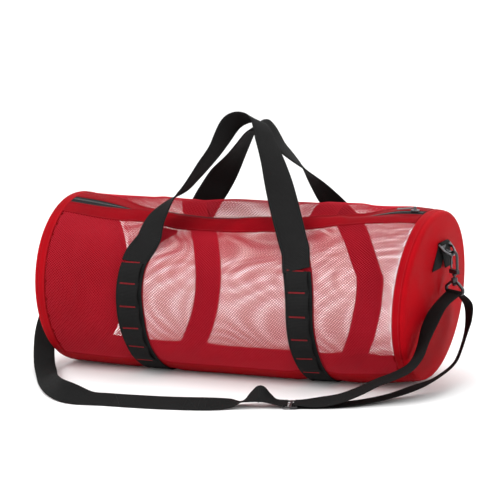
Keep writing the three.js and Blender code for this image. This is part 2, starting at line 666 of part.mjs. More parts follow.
// The free part of a handle between its two starts, with its width turned across the grip.
function handleArch(rows, starts, gripAcross, front) {
  const middleX = (LEFT_HOOP_X + RIGHT_HOOP_X) / 2;
  const halfSpan = (RIGHT_HOOP_X - LEFT_HOOP_X) / 2;
  const tackDepth = BAG_RADIUS * Math.cos(THREE.MathUtils.degToRad(FRONT_TACK_AT));
  const middles = rows.map(
    (row) =>
      new THREE.Vector3(
        middleX + row.along * halfSpan,
        (front ? -1 : 1) * row.depth * tackDepth,
        TACK_HEIGHT + row.rise * (HANDLE_HEIGHT - TACK_HEIGHT),
      ),
  );
  return rows.map((row, i) => {
    const start = starts[i < rows.length / 2 ? 0 : 1];
    const turned = (i < rows.length / 2) === front ? -1 : 1;
    const across = start.across.clone().multiplyScalar(turned * (1 - row.turn));
    across.addScaledVector(gripAcross, row.turn);
    return { at: middles[i], across };
  });
}

// The rows of a handle with a row more between each two, read on a smooth curve.
function refined(rows) {
  const names = Object.keys(rows[0]);
  const places = rows.flatMap((row, i) =>
    i + 1 < rows.length ? [row.at, (row.at + rows[i + 1].at) / 2] : [row.at],
  );
  return places.map((at) =>
    Object.fromEntries(names.map((name) => [name, name === "at" ? at : column(rows, name, at)])),
  );
}

const [leftHoop, rightHoop] = WEBBING_HOOPS;
const startGap = 3 * seamDegrees;
const frontLies = [FRONT_TACK_AT + startGap, FRONT_TACK_AT + FRONT_LIES_DEGREES];
const frontLeft = frontLies.map((d) => lyingOn(leftHoop, d));
const frontRight = frontLies.map((d) => lyingOn(rightHoop, d)).reverse();
const frontStarts = [frontLeft.at(-1), frontRight[0]];
const frontArch = handleArch(refined(FRONT_HANDLE), frontStarts, FRONT_GRIP_ACROSS, true);
// Turns each place's width square to the run, and keeps it and the face to the same side as
// before it, so that the strip is whole.
function unflipped(places) {
  places.forEach((place, i) => {
    const next = places[Math.min(i + 1, places.length - 1)].at;
    const before = places[Math.max(i - 1, 0)].at;
    const run = next.clone().sub(before).normalize();
    if (!place.out) place.across.addScaledVector(run, -place.across.dot(run)).normalize();
    if (i && place.across.dot(places[i - 1].across) < 0) place.across.negate();
    place.out = place.across.clone().cross(run).normalize();
  });
  return places;
}
add(
  "handle_front",
  ribbon(unflipped([...frontLeft, ...frontArch, ...frontRight]), WEBBING_WIDTH, WEBBING_THICKNESS),
  "webbing",
);

const rearLies = bendLines(REAR_LEAVES_AT, BACK_TACK_AT - startGap).reverse();
const rearLeft = rearLies.map((d) => lyingOn(leftHoop, d));
const rearRight = rearLies.map((d) => lyingOn(rightHoop, d)).reverse();
const rearStarts = [rearLeft.at(-1), rearRight[0]];
const rearArch = handleArch(refined(REAR_HANDLE), rearStarts, REAR_GRIP_ACROSS, false);
add(
  "handle_rear",
  ribbon(unflipped([...rearLeft, ...rearArch, ...rearRight]), WEBBING_WIDTH, WEBBING_THICKNESS),
  "webbing",
);

// End fittings
// How far out the face of an end stands at a place on it.
function endFace(side, y, z) {
  const { rim, middle } = endRim(side, 90);
  const radius = rim.z - middle.z;
  const share = Math.min(Math.hypot(y, z - middle.z) / (radius - CORNER_RADIUS), 1);
  const lean = side > 0 ? column(HOOPS, "tilt", 1) : column(HOOPS, "tilt", -1);
  const out = CORNER_RADIUS + SEAM_GAP + END_DOME * (1 - share * share);
  return side * (HALF_LENGTH + out) + lean * (z - BAG_RADIUS);
}

// A half turn of points round a middle, from one direction to another.
function arcPoints(middle, radius, first, second, from, to, steps) {
  return Array.from({ length: steps + 1 }, (_, i) => {
    const t = THREE.MathUtils.degToRad(from + ((to - from) * i) / steps);
    return middle
      .clone()
      .addScaledVector(first, radius * Math.cos(t))
      .addScaledVector(second, radius * Math.sin(t));
  });
}

const UP = new THREE.Vector3(0, 0, 1);
const ringHalf = STRAP_WIDTH / 2 + RING_WIRE / 2 + 3 * LAYER_GAP;
const barOut = ANCHOR_THICKNESS + LAYER_GAP + RING_WIRE / 2 + FIT;
const barDown = RING_WIRE / 2 + ANCHOR_THICKNESS + FIT;

// The webbing that holds a ring on an end: two legs sewn to it, folded over the ring's bar.
function strapAnchor(side) {
  const place = (y, z, lift) => new THREE.Vector3(endFace(side, y, z) + side * lift, y, z);
  const low = ANCHOR_TOP - ANCHOR_LEG_LENGTH;
  const slope = ANCHOR_LEG_SPREAD / ANCHOR_LEG_LENGTH;
  const half = STRAP_WIDTH / 2;
  const barZ = ANCHOR_TOP - barDown;
  const wrap = RING_WIRE / 2 + FIT;
  const row = (y, z, lift) => [-half, half].map((s) => place(y + s, z, lift));
  const leg = (sign, lift) => {
    const rows = [];
    for (const z of [low, (low + barZ) / 2, barZ - RING_WIRE]) {
      rows.push(row(sign * slope * (barZ - RING_WIRE - z), z, lift));
    }
    return rows;
  };
  const over = (radius) => {
    const rows = [];
    for (const turn of [180, 135, 90, 45, 0]) {
      const t = THREE.MathUtils.degToRad(turn);
      const z = barZ + radius * Math.sin(t);
      const x = endFace(side, 0, barZ) + side * (barOut + radius * Math.cos(t));
      rows.push([-half, half].map((s) => new THREE.Vector3(x, s, z)));
    }
    return rows;
  };
  const under = LAYER_GAP;
  const front = barOut + wrap;
  const outer = [
    ...leg(-1, under),
    ...over(wrap + ANCHOR_THICKNESS),
    ...leg(1, front + ANCHOR_THICKNESS).reverse(),
  ];
  const inner = [
    ...leg(-1, under + ANCHOR_THICKNESS),
    ...over(wrap),
    ...leg(1, front).reverse(),
  ];
  return { geometry: wall(outer, inner), barZ };
}

// The ring: a bar across the fold and a bow that hangs in front of the webbing.
function dRing(side, barZ) {
  const x = endFace(side, 0, barZ) + side * barOut;
  const down = new THREE.Vector3(side * RING_HANGS_OUT, 0, -1).normalize();
  const across = new THREE.Vector3(0, 1, 0);
  const normal = across.clone().cross(down);
  const middle = new THREE.Vector3(x, 0, barZ);
  const bowRadius = RING_DROP - RING_WIRE;
  const points = [];
  for (const y of [-ringHalf, -ringHalf / 3, ringHalf / 3, ringHalf]) {
    points.push(middle.clone().addScaledVector(across, y));
  }
  for (const t of [25, 50, 75, 105, 130, 155]) {
    const turn = THREE.MathUtils.degToRad(t);
    points.push(
      middle
        .clone()
        .addScaledVector(across, ringHalf * Math.cos(turn))
        .addScaledVector(down, bowRadius * Math.sin(turn) + RING_WIRE / 2),
    );
  }
  const lowest = middle.clone().addScaledVector(down, bowRadius + RING_WIRE / 2);
  return { geometry: bar(points, normal, RING_WIRE / 2, 8, true), lowest };
}

// A swivel hook whose crook hangs on the ring: its frame has x across the hook and z up, and its
// origin is where the ring's wire rests in the crook.
function hookFrame(side, turnDegrees, rest) {
  const turn = THREE.MathUtils.degToRad(turnDegrees);
  const across = new THREE.Vector3(side * Math.cos(turn), Math.sin(turn), 0);
  const through = UP.clone().cross(across);
  return new THREE.Matrix4().makeBasis(across, through, UP).setPosition(rest);
}

const crook = HOOK_WIDTH / 2 - HOOK_WIRE / 2;
const wire = HOOK_WIRE / 2;
const crookTop = RING_WIRE / 2 + 1.6 * LAYER_GAP + wire;
const crookMiddle = crookTop - crook;
const hookBase = crookTop + wire - HOOK_LENGTH;
const footHeight = 7;
const gateFoot = hookBase + footHeight + 0.8;
const noseEnd = crookMiddle - 4;
const eyeTop = hookBase - SWIVEL_LENGTH / 2;
const hubHeight = 6;
const Y_AXIS = new THREE.Vector3(0, 1, 0);
const X_AXIS = new THREE.Vector3(1, 0, 0);

function hookBody() {
  const top = arcPoints(new THREE.Vector3(0, 0, crookMiddle), crook, X_AXIS, UP, 0, 180, 8);
  const spine = [new THREE.Vector3(crook, 0, hookBase + 3), ...top];
  const bow = bar([...spine, new THREE.Vector3(-crook, 0, noseEnd)], Y_AXIS, wire, 10);
  const foot = block(HOOK_WIDTH, HOOK_WIRE + 1, footHeight, 0, 0, hookBase + footHeight / 2);
  const neck = post(SWIVEL_RADIUS + 1.6, 4, 0, 0, hookBase - 1.5);
  const stemLength = SWIVEL_LENGTH + hubHeight;
  const stem = post(SWIVEL_RADIUS, stemLength, 0, 0, hookBase - stemLength / 2 + 1);
  const head = post(SWIVEL_RADIUS + 1.6, 2.4, 0, 0, hookBase - stemLength + 1);
  return fuse(bow, foot, neck, stem, head);
}

// The gate turns on a pin through the foot, which is its own origin, and closes on the nose.
function hookGate() {
  const reach = noseEnd - FIT - gateFoot;
  return block(3, 3, reach, 0, 0, reach / 2);
}

// The eye that the strap goes through, which turns on the hook's stem.
function hookEye() {
  const halfWidth = EYE_SLOT_WIDTH / 2 + EYE_WALL;
  const high = eyeTop - hubHeight;
  const low = high - EYE_WALL - EYE_SLOT_HEIGHT - EYE_WALL;
  const corner = 5;
  const outline = new THREE.Shape([
    new THREE.Vector2(-halfWidth + corner, low),
    new THREE.Vector2(halfWidth - corner, low),
    new THREE.Vector2(halfWidth, low + corner),
    new THREE.Vector2(halfWidth, high - 2 * corner),
    new THREE.Vector2(halfWidth - 3 * corner, high),
    new THREE.Vector2(-halfWidth + 3 * corner, high),
    new THREE.Vector2(-halfWidth, high - 2 * corner),
    new THREE.Vector2(-halfWidth, low + corner),
  ]);
  const slot = EYE_SLOT_WIDTH / 2;
  const slotLow = low + EYE_WALL;
  outline.holes.push(
    new THREE.Path([
      new THREE.Vector2(-slot, slotLow),
      new THREE.Vector2(-slot, slotLow + EYE_SLOT_HEIGHT - 7),
      new THREE.Vector2(-slot + 11, slotLow + EYE_SLOT_HEIGHT),
      new THREE.Vector2(slot - 11, slotLow + EYE_SLOT_HEIGHT),
      new THREE.Vector2(slot, slotLow + EYE_SLOT_HEIGHT - 7),
      new THREE.Vector2(slot, slotLow),
    ]),
  );
  const frame = new THREE.ExtrudeGeometry(outline, { depth: EYE_THICKNESS, bevelEnabled: false });
  frame.rotateX(Math.PI / 2).translate(0, EYE_THICKNESS / 2, 0);
  const hub = post(SWIVEL_RADIUS + 3.4, hubHeight + 2, 0, 0, high + hubHeight / 2 - 1);
  const bore = post(SWIVEL_RADIUS + FIT, 4 * hubHeight, 0, 0, high);
  return cut(fuse(frame, hub), bore);
}

const barTurn = EYE_WALL / 2 + STRAP_THICKNESS / 2 + 0.9;
const eyeBarZ = eyeTop - hubHeight - 1.5 * EYE_WALL - EYE_SLOT_HEIGHT;
const eyeBars = {};
for (const [side, name] of [[-1, "left"], [1, "right"]]) {
  const { geometry, barZ } = strapAnchor(side);
  add("strap_anchor_" + name, geometry, "webbing");
  const ring = dRing(side, barZ);
  add("d_ring_" + name, ring.geometry, "metal");
  const frame = hookFrame(side, HOOK_TURNS[name], ring.lowest);
  add("hook_body_" + name, hookBody(), "plastic", frame);
  add("hook_eye_" + name, hookEye(), "plastic", frame);
  const gatePlace = new THREE.Matrix4().setPosition(-crook, 0, gateFoot);
  add("hook_gate_" + name, hookGate(), "metal", frame.clone().multiply(gatePlace));
  eyeBars[name] = { frame, middle: new THREE.Vector3(0, 0, eyeBarZ).applyMatrix4(frame) };
}

// Shoulder strap
// A place on the strap that goes round an eye's bar, by degrees from its front side over it.
function roundBar({ frame, middle }, degrees) {
  const across = new THREE.Vector3().setFromMatrixColumn(frame, 0);
  const through = new THREE.Vector3().setFromMatrixColumn(frame, 1);
  const t = THREE.MathUtils.degToRad(degrees);
  const out = through.multiplyScalar(-Math.cos(t)).addScaledVector(UP, Math.sin(t));
  return { at: middle.clone().addScaledVector(out, barTurn), across, out };
}

function strapOf(places) {
  return ribbon(unflipped(places), STRAP_WIDTH, STRAP_THICKNESS);
}

// The places of a table of the strap's route.
const route = (rows) =>
  rows.map((row) => ({
    at: new THREE.Vector3(row.x, row.y, row.z),
    across: new THREE.Vector3(row.ax, row.ay, row.az),
  }));

// The places of the strap's fold over an eye's bar, from its front side to its back.
const roundEye = (bar) => [0, 45, 90, 135, 180].map((degrees) => roundBar(bar, degrees));

// The adjuster lies flat on the strand that passes under it, with its x along the strap.
const glideTurn = THREE.MathUtils.degToRad(GLIDE_TURN);
const glideFrame = new THREE.Matrix4().makeRotationZ(glideTurn).setPosition(...GLIDE_AT);
const barAt = GLIDE_SLOT + GLIDE_WALL;
function strapGlide() {
  const half = barAt + GLIDE_WALL / 2;
  const slotHalf = EYE_SLOT_WIDTH / 2;
  const plate = block(2 * half, 2 * (slotHalf + GLIDE_WALL), GLIDE_THICKNESS);
  const slot = (side) =>
    block(GLIDE_SLOT, 2 * slotHalf, 2 * GLIDE_THICKNESS, (side * barAt) / 2, 0, 0);
  return cut(cut(plate, slot(-1)), slot(1));
}
add("strap_slider", strapGlide(), "plastic", glideFrame);

// A place of the strap at the adjuster, along and above its middle.
const atGlide = (x, z) => ({
  at: new THREE.Vector3(x, 0, z).applyMatrix4(glideFrame),
  across: new THREE.Vector3().setFromMatrixColumn(glideFrame, 1),
});
const overBar = GLIDE_THICKNESS / 2 + STRAP_THICKNESS / 2 + SEAM_GAP;
const inSlot = barAt / 2;

const leftFold = roundEye(eyeBars.left);
const sewnTail = { ...leftFold[0], at: leftFold[0].at.clone().addScaledVector(UP, -TAIL) };
const run = [
  sewnTail,
  ...leftFold,
  ...route(STRAP_RUN),
  atGlide(-barAt - 3, overBar + 0.2),
  atGlide(-barAt + 3, overBar),
  atGlide(-inSlot, overBar - 1),
];
add("shoulder_strap", strapOf(run), "webbing");
const loop = [
  atGlide(inSlot, overBar - 1),
  atGlide(barAt - 3, overBar),
  atGlide(barAt + 3, overBar + 0.2),
  ...route(STRAP_UP),
  ...roundEye(eyeBars.right),
  ...route(STRAP_DOWN),
  atGlide(barAt, -overBar),
  atGlide(0, -overBar),
];
add("shoulder_strap_loop", strapOf(loop), "webbing");

export default bag;
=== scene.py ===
"""A mesh dive gear bag: a round net duffel with coated cloth ends, base and zip bands, black
webbing handles with gear loops, and a shoulder strap on two swivel hooks. Metres, +Z up."""

import math

import bmesh
import bpy
import numpy as np
from mathutils import Matrix, Vector


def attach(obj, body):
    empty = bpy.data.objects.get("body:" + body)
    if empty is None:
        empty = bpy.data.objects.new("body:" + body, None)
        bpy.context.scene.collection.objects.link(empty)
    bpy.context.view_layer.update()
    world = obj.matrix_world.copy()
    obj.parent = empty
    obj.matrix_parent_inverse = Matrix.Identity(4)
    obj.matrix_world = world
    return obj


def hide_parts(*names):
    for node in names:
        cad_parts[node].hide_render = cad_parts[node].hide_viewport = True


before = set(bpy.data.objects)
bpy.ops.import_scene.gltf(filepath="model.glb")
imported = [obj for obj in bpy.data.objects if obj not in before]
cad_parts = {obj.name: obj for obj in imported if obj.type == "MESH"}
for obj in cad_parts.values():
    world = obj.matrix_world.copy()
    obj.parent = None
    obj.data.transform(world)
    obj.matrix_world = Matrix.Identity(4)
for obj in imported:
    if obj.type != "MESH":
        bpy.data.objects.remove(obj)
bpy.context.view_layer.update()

MM = 0.001
RADIUS = 0.150
HALF_LENGTH = 0.341
SHEET_END = 0.327
SEAM_GAP = 0.0004
LAYER_GAP = 0.0006
PANEL_THICKNESS = 0.0018
BINDING_THICKNESS = 0.0022
CORNER_RADIUS = 0.008
END_DOME = 0.005
WEBBING_WIDTH = 0.050
WEBBING_THICKNESS = 0.002
LOOP_WIDTH = 0.038
LOOP_THICKNESS = 0.0015
LOOP_PUFF = 0.004
LOOP_PITCH = 0.039
LOOP_COUNT = 5
STRAP_WIDTH = 0.038
STRAP_THICKNESS = 0.0016
INNER_BAND_THICKNESS = 0.0012
STRAND_PITCH = 0.0037
STRAND_RADIUS = 0.00066
STITCH_PITCH = 0.0034
FINE_STITCH = (0.0026, 0.0003)
INNER_BAND_WIDTH = 0.050
TOOTH_PITCH = 0.0019
TOOTH_LONG = 0.0029
TOOTH_SHORT = 0.0006
ON_TAPE = 0.0007
SEWN_BOXES = ((0.558, 0.579), (0.689, 0.713), (0.725, 0.776))

# Places round the hoop in degrees: 0 is the front, 90 the zip, 180 the back and 270 the bottom.
# Places past WRAP_AT are counted back from the front, as negative degrees.
FULL_TURN = 360
WRAP_AT = 238
RIM_START = -128
ZIP_AT = 90.0
SLACK_DEGREES = 80.0
BASE_FRONT_AT = -52.0
BASE_BACK_AT = 237.0
FRONT_TACK_AT = math.degrees(math.asin(63 / 150))
BACK_TACK_AT = 180 - FRONT_TACK_AT

# The hoops along the bag: lengths are shares of RADIUS, and zip is in degrees.
HOOPS = {
    "at": [-1.0, -0.82, -0.46, 0.0, 0.48, 0.82, 1.0],
    "radius": [1.02, 1.015, 1.015, 1.015, 1.02, 1.01, 0.965],
    "rise": [0.0, -0.02, -0.04, -0.04, -0.04, 0.0, 0.05],
    "fold": [0.0, 0.08, 0.85, 1.0, 0.8, 0.2, 0.0],
    "zip": [14, 15, 16, 17, 14, 9, 6],
    "tilt": [0.0, 0.0, 0.0, 0.0, 0.02, 0.05, 0.09],
}

# The folds of the slack top, by degrees round the hoop.
FOLDS = {
    "at": [20, 40, 56, 70, 77, 92, 107, 120, 135],
    "drop": [0.0, 0.04, 0.11, 0.054, 0.158, 0.2, -0.02, -0.012, 0.0],
}

# Where each webbing hoop runs and how its upper part leans towards the middle.
WEBBING_HOOPS = {
    "left": {"x": -0.158, "front": 0.25, "back": 0.4, "curve": 3.0},
    "right": {"x": 0.165, "front": -0.38, "back": -0.2, "curve": 0.6},
}
LEAN_TOP_DEGREES = 75.0
FRONT_CURVE = 1.6

# The free webbing: x, y and z of its middle line in millimetres, then along its width. These are
# the places that the part's own source works out for it, printed from there and rounded.
PATHS = {
    "handle_front": [
        (-151.4, -140, 211, 1, 0, -0.01), (-149.4, -135.1, 219.3, 1, 0, -0.02),
        (-130.5, -123.9, 248.1, 0.91, -0.25, -0.32), (-128.2, -115.3, 264.1, 0.97, -0.25, -0.06),
        (-124.1, -106.9, 279.6, 0.88, -0.45, -0.14), (-113.8, -97.2, 296.8, 0.72, -0.69, -0.11),
        (-101.5, -88.5, 312.2, 0.51, -0.86, 0.02), (-90.5, -82.8, 322.1, 0.34, -0.93, 0.15),
        (-78.9, -76.9, 332.8, 0.26, -0.93, 0.25), (-65.2, -67.9, 351.2, 0.19, -0.93, 0.32),
        (-52.2, -58.5, 370.3, 0.11, -0.92, 0.38), (-42.5, -51.5, 384.1, 0.08, -0.91, 0.41),
        (-34.5, -44.9, 396.9, 0.04, -0.9, 0.44), (-28, -37.5, 411.3, -0.06, -0.88, 0.48),
        (-21.5, -29.9, 426, -0.14, -0.85, 0.51), (-16.8, -25.2, 435, -0.15, -0.83, 0.53),
        (-10.2, -21.1, 442.9, -0.11, -0.83, 0.54), (-0.3, -18.6, 448.4, -0.06, -0.85, 0.52),
        (11.6, -17.7, 450.9, -0.03, -0.88, 0.47), (25.6, -18.7, 449.7, -0.04, -0.91, 0.4),
        (39, -21.8, 444.1, -0.15, -0.95, 0.29), (50, -28.7, 429.6, -0.29, -0.92, 0.25),
        (58.4, -36.1, 413.9, -0.37, -0.9, 0.22), (70.9, -46.2, 393.2, -0.46, -0.87, 0.16),
        (81.8, -55.8, 373.9, -0.57, -0.82, 0.11), (95.5, -69.5, 346.5, -0.73, -0.68, -0.02),
        (108.5, -83, 319.5, -0.84, -0.53, -0.14), (121.3, -96.2, 293.3, -0.89, -0.4, -0.23),
        (133.5, -108.9, 268.7, -0.9, -0.31, -0.3), (141.3, -117.2, 254.2, -0.9, -0.28, -0.33),
        (148.8, -125.2, 240.8, -0.95, -0.17, -0.25), (153.2, -135.5, 220.9, -1, -0.01, -0.04),
        (156.1, -140.6, 212.3, -1, -0.01, -0.03),
    ],
    "handle_rear": [
        (-155.7, 137.7, 218.1, 1, 0, -0.01), (-154.9, 133.6, 225.7, 1, 0, -0.01),
        (-151.4, 118.4, 247.5, 1, 0, -0.01), (-150.2, 113.9, 252.7, 1, 0, -0.01),
        (-124.1, 95.3, 285.6, 0.81, 0.27, -0.52), (-108.4, 87, 302.9, 0.77, 0.35, -0.53),
        (-93.4, 79, 319.5, 0.76, 0.45, -0.46), (-78.7, 70.7, 336.1, 0.72, 0.6, -0.34),
        (-64.3, 62.6, 352.1, 0.62, 0.76, -0.18), (-50.4, 54.9, 367.1, 0.5, 0.86, -0.02),
        (-36.1, 47, 382.4, 0.4, 0.91, 0.11), (-19.6, 37.3, 401, 0.3, 0.93, 0.22),
        (-3.9, 28, 418.2, 0.24, 0.92, 0.3), (4.1, 23.1, 425.7, 0.25, 0.91, 0.34),
        (11.6, 19.1, 430.8, 0.25, 0.91, 0.34), (17.2, 16.8, 433.1, 0.21, 0.93, 0.29),
        (22.9, 15.7, 433.7, 0.11, 0.95, 0.28), (28.7, 15.7, 432.7, 0, 0.95, 0.31),
        (34.2, 17, 429.6, -0.08, 0.93, 0.36), (40.6, 20.8, 422, -0.13, 0.91, 0.38),
        (46.3, 25.9, 412.6, -0.2, 0.89, 0.4), (52, 33.1, 400.5, -0.29, 0.88, 0.38),
        (58.4, 40.8, 387.7, -0.37, 0.88, 0.3), (70.6, 50.9, 371.5, -0.44, 0.88, 0.19),
        (84.3, 61.3, 353.4, -0.57, 0.82, 0.05), (101.8, 75.4, 324.6, -0.79, 0.58, -0.2),
        (119.8, 89.8, 294.1, -0.87, 0.31, -0.37), (146.7, 115.2, 252.9, -1, 0.01, -0.02),
        (147.3, 119.6, 247.8, -1, 0.01, -0.02), (149.7, 134.5, 226.2, -1, 0.01, -0.03),
        (150.5, 138.6, 218.6, -1, 0.01, -0.03),
    ],
    "shoulder_strap": [
        (-377.4, 2.9, 135.5, -0.74, -0.67, 0), (-377.4, 2.9, 159.5, -0.74, -0.67, 0),
        (-376.6, 2.1, 162.3, -0.74, -0.67, 0), (-374.7, 0, 163.4, -0.74, -0.67, 0),
        (-372.9, -2.1, 162.3, -0.74, -0.67, 0), (-372.1, -2.9, 159.5, -0.74, -0.67, 0),
        (-374, -38, 118, -0.92, -0.27, 0.28), (-380, -54, 84, -0.89, -0.36, 0.27),
        (-377, -76, 58, -0.85, -0.48, 0.23), (-367, -99, 37, -0.81, -0.56, 0.18),
        (-349, -130, 18, -0.83, -0.56, 0.06), (-318, -175, 10, -0.82, -0.54, -0.2),
        (-283, -228, 14, -0.68, -0.53, -0.51), (-243, -279, 18, -0.44, -0.45, -0.78),
        (-211, -305, 18, -0.26, -0.39, -0.88), (-184, -309, 14, -0.1, -0.75, -0.66),
        (-158, -304, 8.5, 0.13, -0.92, -0.37), (-130, -299, 7.4, 0.09, -0.94, -0.33),
        (-80, -296, 7.4, 0.09, -0.94, -0.33), (-12, -288, 7.4, 0.16, -0.93, -0.33),
        (53, -273, 7.4, 0.29, -0.9, -0.33), (84, -257, 7.4, 0.45, -0.88, -0.14),
        (100, -249, 9, 0.36, -0.92, 0.18), (115, -243, 17, 0.42, -0.88, -0.22),
        (128, -239, 22, 0.23, -0.79, -0.57), (141, -234, 15, 0.25, -0.95, -0.18),
        (152, -230, 8.5, 0.35, -0.94, 0), (163.8, -225.4, 6.3, 0.35, -0.94, 0),
        (169.4, -223.4, 6.1, 0.34, -0.94, 0), (171.3, -222.7, 5.1, 0.34, -0.94, 0),
    ],
    "shoulder_strap_loop": [
        (180.7, -219.3, 5.1, -0.34, 0.94, 0), (182.6, -218.6, 6.1, -0.34, 0.94, 0),
        (188.2, -216.6, 6.3, -0.26, 0.97, 0), (222, -208, 8, -0.31, 0.93, 0.21),
        (254, -196, 14, -0.45, 0.88, 0.16), (283, -180, 25, -0.54, 0.84, 0.11),
        (307, -165, 37, -0.52, 0.85, 0.08), (330, -153, 46, -0.51, 0.85, 0.08),
        (350, -141, 56, -0.68, 0.73, -0.01), (361, -124, 70, -0.78, 0.57, -0.26),
        (365, -104, 92, -0.78, 0.52, -0.34), (368, -82, 118, -0.9, 0.37, -0.23),
        (373, -54, 142, -0.93, 0.28, -0.25), (380.9, -3.3, 159.5, -0.85, 0.53, 0),
        (381.5, -2.4, 162.3, -0.85, 0.53, 0), (383, 0, 163.4, -0.85, 0.53, 0),
        (384.4, 2.4, 162.3, -0.85, 0.53, 0), (385, 3.3, 159.5, -0.85, 0.53, 0),
        (388, 34, 142, -0.87, 0.36, 0.34), (388, 52, 116, -0.62, 0.73, 0.29),
        (386, 52, 92, -0.54, 0.81, -0.23), (384, 36, 68, -0.51, 0.64, -0.57),
        (383, 10, 48, -0.57, 0.38, -0.73), (381, -30, 36, -0.79, 0.24, -0.56),
        (373, -70, 28, -0.83, 0.41, -0.39), (352, -105, 19, -0.78, 0.62, -0.13),
        (322, -138, 10, -0.68, 0.73, -0.09), (284, -170, 4, -0.59, 0.81, -0.04),
        (246, -194, 1.4, -0.49, 0.87, 0), (218, -207, 1.1, -0.36, 0.93, 0),
        (185.4, -217.6, 1.3, -0.32, 0.95, 0), (176, -221, 1.3, -0.34, 0.94, 0),
    ],
}


def smooth(table, name, t):
    """Reads a table's column on a smooth curve through its rows."""
    at, v = np.array(table["at"], float), np.array(table[name], float)
    t = np.clip(np.asarray(t, float), at[0], at[-1])
    rows = np.arange(len(at))
    before, after = np.maximum(rows - 1, 0), np.minimum(rows + 1, len(at) - 1)
    slope = (v[after] - v[before]) / (at[after] - at[before])
    i = np.clip(np.searchsorted(at, t, side="right") - 1, 0, len(at) - 2)
    span = at[i + 1] - at[i]
    k = (t - at[i]) / span
    start = 2 * k**3 - 3 * k**2 + 1
    bend = (k**3 - 2 * k**2 + k) * slope[i] + (k**3 - k**2) * slope[i + 1]
    return start * v[i] + (1 - start) * v[i + 1] + bend * span


def ramp(value, low, high):
    """Rises smoothly from 0 at low to 1 at high."""
    k = np.clip((value - low) / (high - low), 0, 1)
    return k * k * (3 - 2 * k)


def wrinkles(x, degrees):
    """How far the cloth stands out or in where the slack net ripples, 0 at its edges."""
    free = ramp(HALF_LENGTH - np.abs(x), 0.01, 0.12) * ramp(degrees, -50, -10)
    free = free * ramp(235 - degrees, 0, 40)
    long_ripple = np.sin(19 * x + 0.055 * degrees + 0.6)
    short_ripple = np.sin(-31 * x + 0.09 * degrees + 2.1)
    cross_ripple = np.sin(47 * x + 0.14 * degrees)
    return free * (1.7 * long_ripple + 1.2 * short_ripple + 0.6 * cross_ripple) * MM


def surface(x, degrees):
    """Points of the bag's outer surface."""
    x, degrees = np.broadcast_arrays(np.asarray(x, float), np.asarray(degrees, float))
    share = x / HALF_LENGTH
    radius = RADIUS * smooth(HOOPS, "radius", share)
    away = np.minimum(np.abs(degrees - ZIP_AT) / SLACK_DEGREES, 1)
    section = degrees - smooth(HOOPS, "zip", share) * np.cos(away * math.pi / 2) ** 2
    drop = smooth(HOOPS, "fold", share) * smooth(FOLDS, "drop", section)
    t = np.radians(section)
    reach = radius * (1 - drop) + wrinkles(x, degrees)
    middle = radius + RADIUS * smooth(HOOPS, "rise", share)
    z = middle + reach * np.sin(t)
    settle = 0.02 * RADIUS
    z = np.where(z <= -settle, 0, np.where(z >= settle, z, (z + settle) ** 2 / (4 * settle)))
    near = np.minimum(*(np.abs(x - hoop["x"]) for hoop in WEBBING_HOOPS.values()))
    z = z + (LAYER_GAP + WEBBING_THICKNESS) * (1 - ramp(near, 0.028, 0.053))
    lean = smooth(HOOPS, "tilt", share) * (z - RADIUS)
    return np.stack([x + lean, -reach * np.cos(t), z], -1)


def normal(x, degrees):
    """The outward normal of the bag's surface."""
    step = 1.5
    round_it = surface(x, degrees + step) - surface(x, degrees - step)
    along = surface(x + step * MM, degrees) - surface(x - step * MM, degrees)
    n = np.cross(along, round_it)
    return n / np.linalg.norm(n, axis=-1, keepdims=True)


def on_bag(x, degrees, proud=0.0):
    """Points that stand proud of the bag's surface."""
    x, degrees = np.broadcast_arrays(np.asarray(x, float), np.asarray(degrees, float))
    proud = np.asarray(proud, float)
    return surface(x, degrees) + normal(x, degrees) * (proud[..., None] if proud.ndim else proud)


def hoop_x(hoop, degrees):
    """Where along the bag a webbing hoop's middle is, by degrees round the bag."""
    height = np.maximum(np.where(degrees <= ZIP_AT, degrees, 180 - degrees), 0)
    share = np.minimum(height / LEAN_TOP_DEGREES, 1)
    front = hoop["front"] * share**FRONT_CURVE
    back = hoop["back"] * share ** hoop["curve"]
    return hoop["x"] + RADIUS * np.where(degrees <= ZIP_AT, front, back)


# Materials

CLOTH_GLOSS = 0.03
WEBBING_GLOSS = 0.06
THREAD_GLOSS = 0.15


def new_material(name, gloss=0.5):
    """A material with its nodes, its links and its shader. gloss is how much it mirrors."""
    material = bpy.data.materials.new(name)
    material.use_nodes = True
    nodes = material.node_tree.nodes
    shader = nodes["Principled BSDF"]
    shader.inputs["Specular IOR Level"].default_value = gloss
    return material, nodes, material.node_tree.links, shader


def mixed(nodes, links, low, high, fac):
    """A colour between low and high, by the factor."""
    mix = nodes.new("ShaderNodeMix")
    mix.data_type = "RGBA"
    mix.inputs["A"].default_value = (*low, 1)
    mix.inputs["B"].default_value = (*high, 1)
    links.new(fac, mix.inputs["Factor"])
    return mix.outputs["Result"]


def ranged(nodes, links, value, low, high):
    """A value from 0 to 1 spread from low to high."""
    node = nodes.new("ShaderNodeMapRange")
    node.inputs["To Min"].default_value = low
    node.inputs["To Max"].default_value = high
    links.new(value, node.inputs["Value"])
    return node.outputs["Result"]


def maths(nodes, links, operation, a, b):
    """One sum of two values, each a socket or a number."""
    node = nodes.new("ShaderNodeMath")
    node.operation = operation
    for socket, value in zip(node.inputs, (a, b)):
        if isinstance(value, (int, float)):
            socket.default_value = value
        else:
            links.new(value, socket)
    return node.outputs["Value"]


def waves(nodes, links, vector, axis, pitch, distort):
    """Ridges across an axis, one a pitch."""
    node = nodes.new("ShaderNodeTexWave")
    node.bands_direction = axis
    node.wave_profile = "SIN"
    node.inputs["Scale"].default_value = math.pi / (10 * pitch)
    node.inputs["Distortion"].default_value = distort
    links.new(vector, node.inputs["Vector"])
    return node.outputs["Fac"]


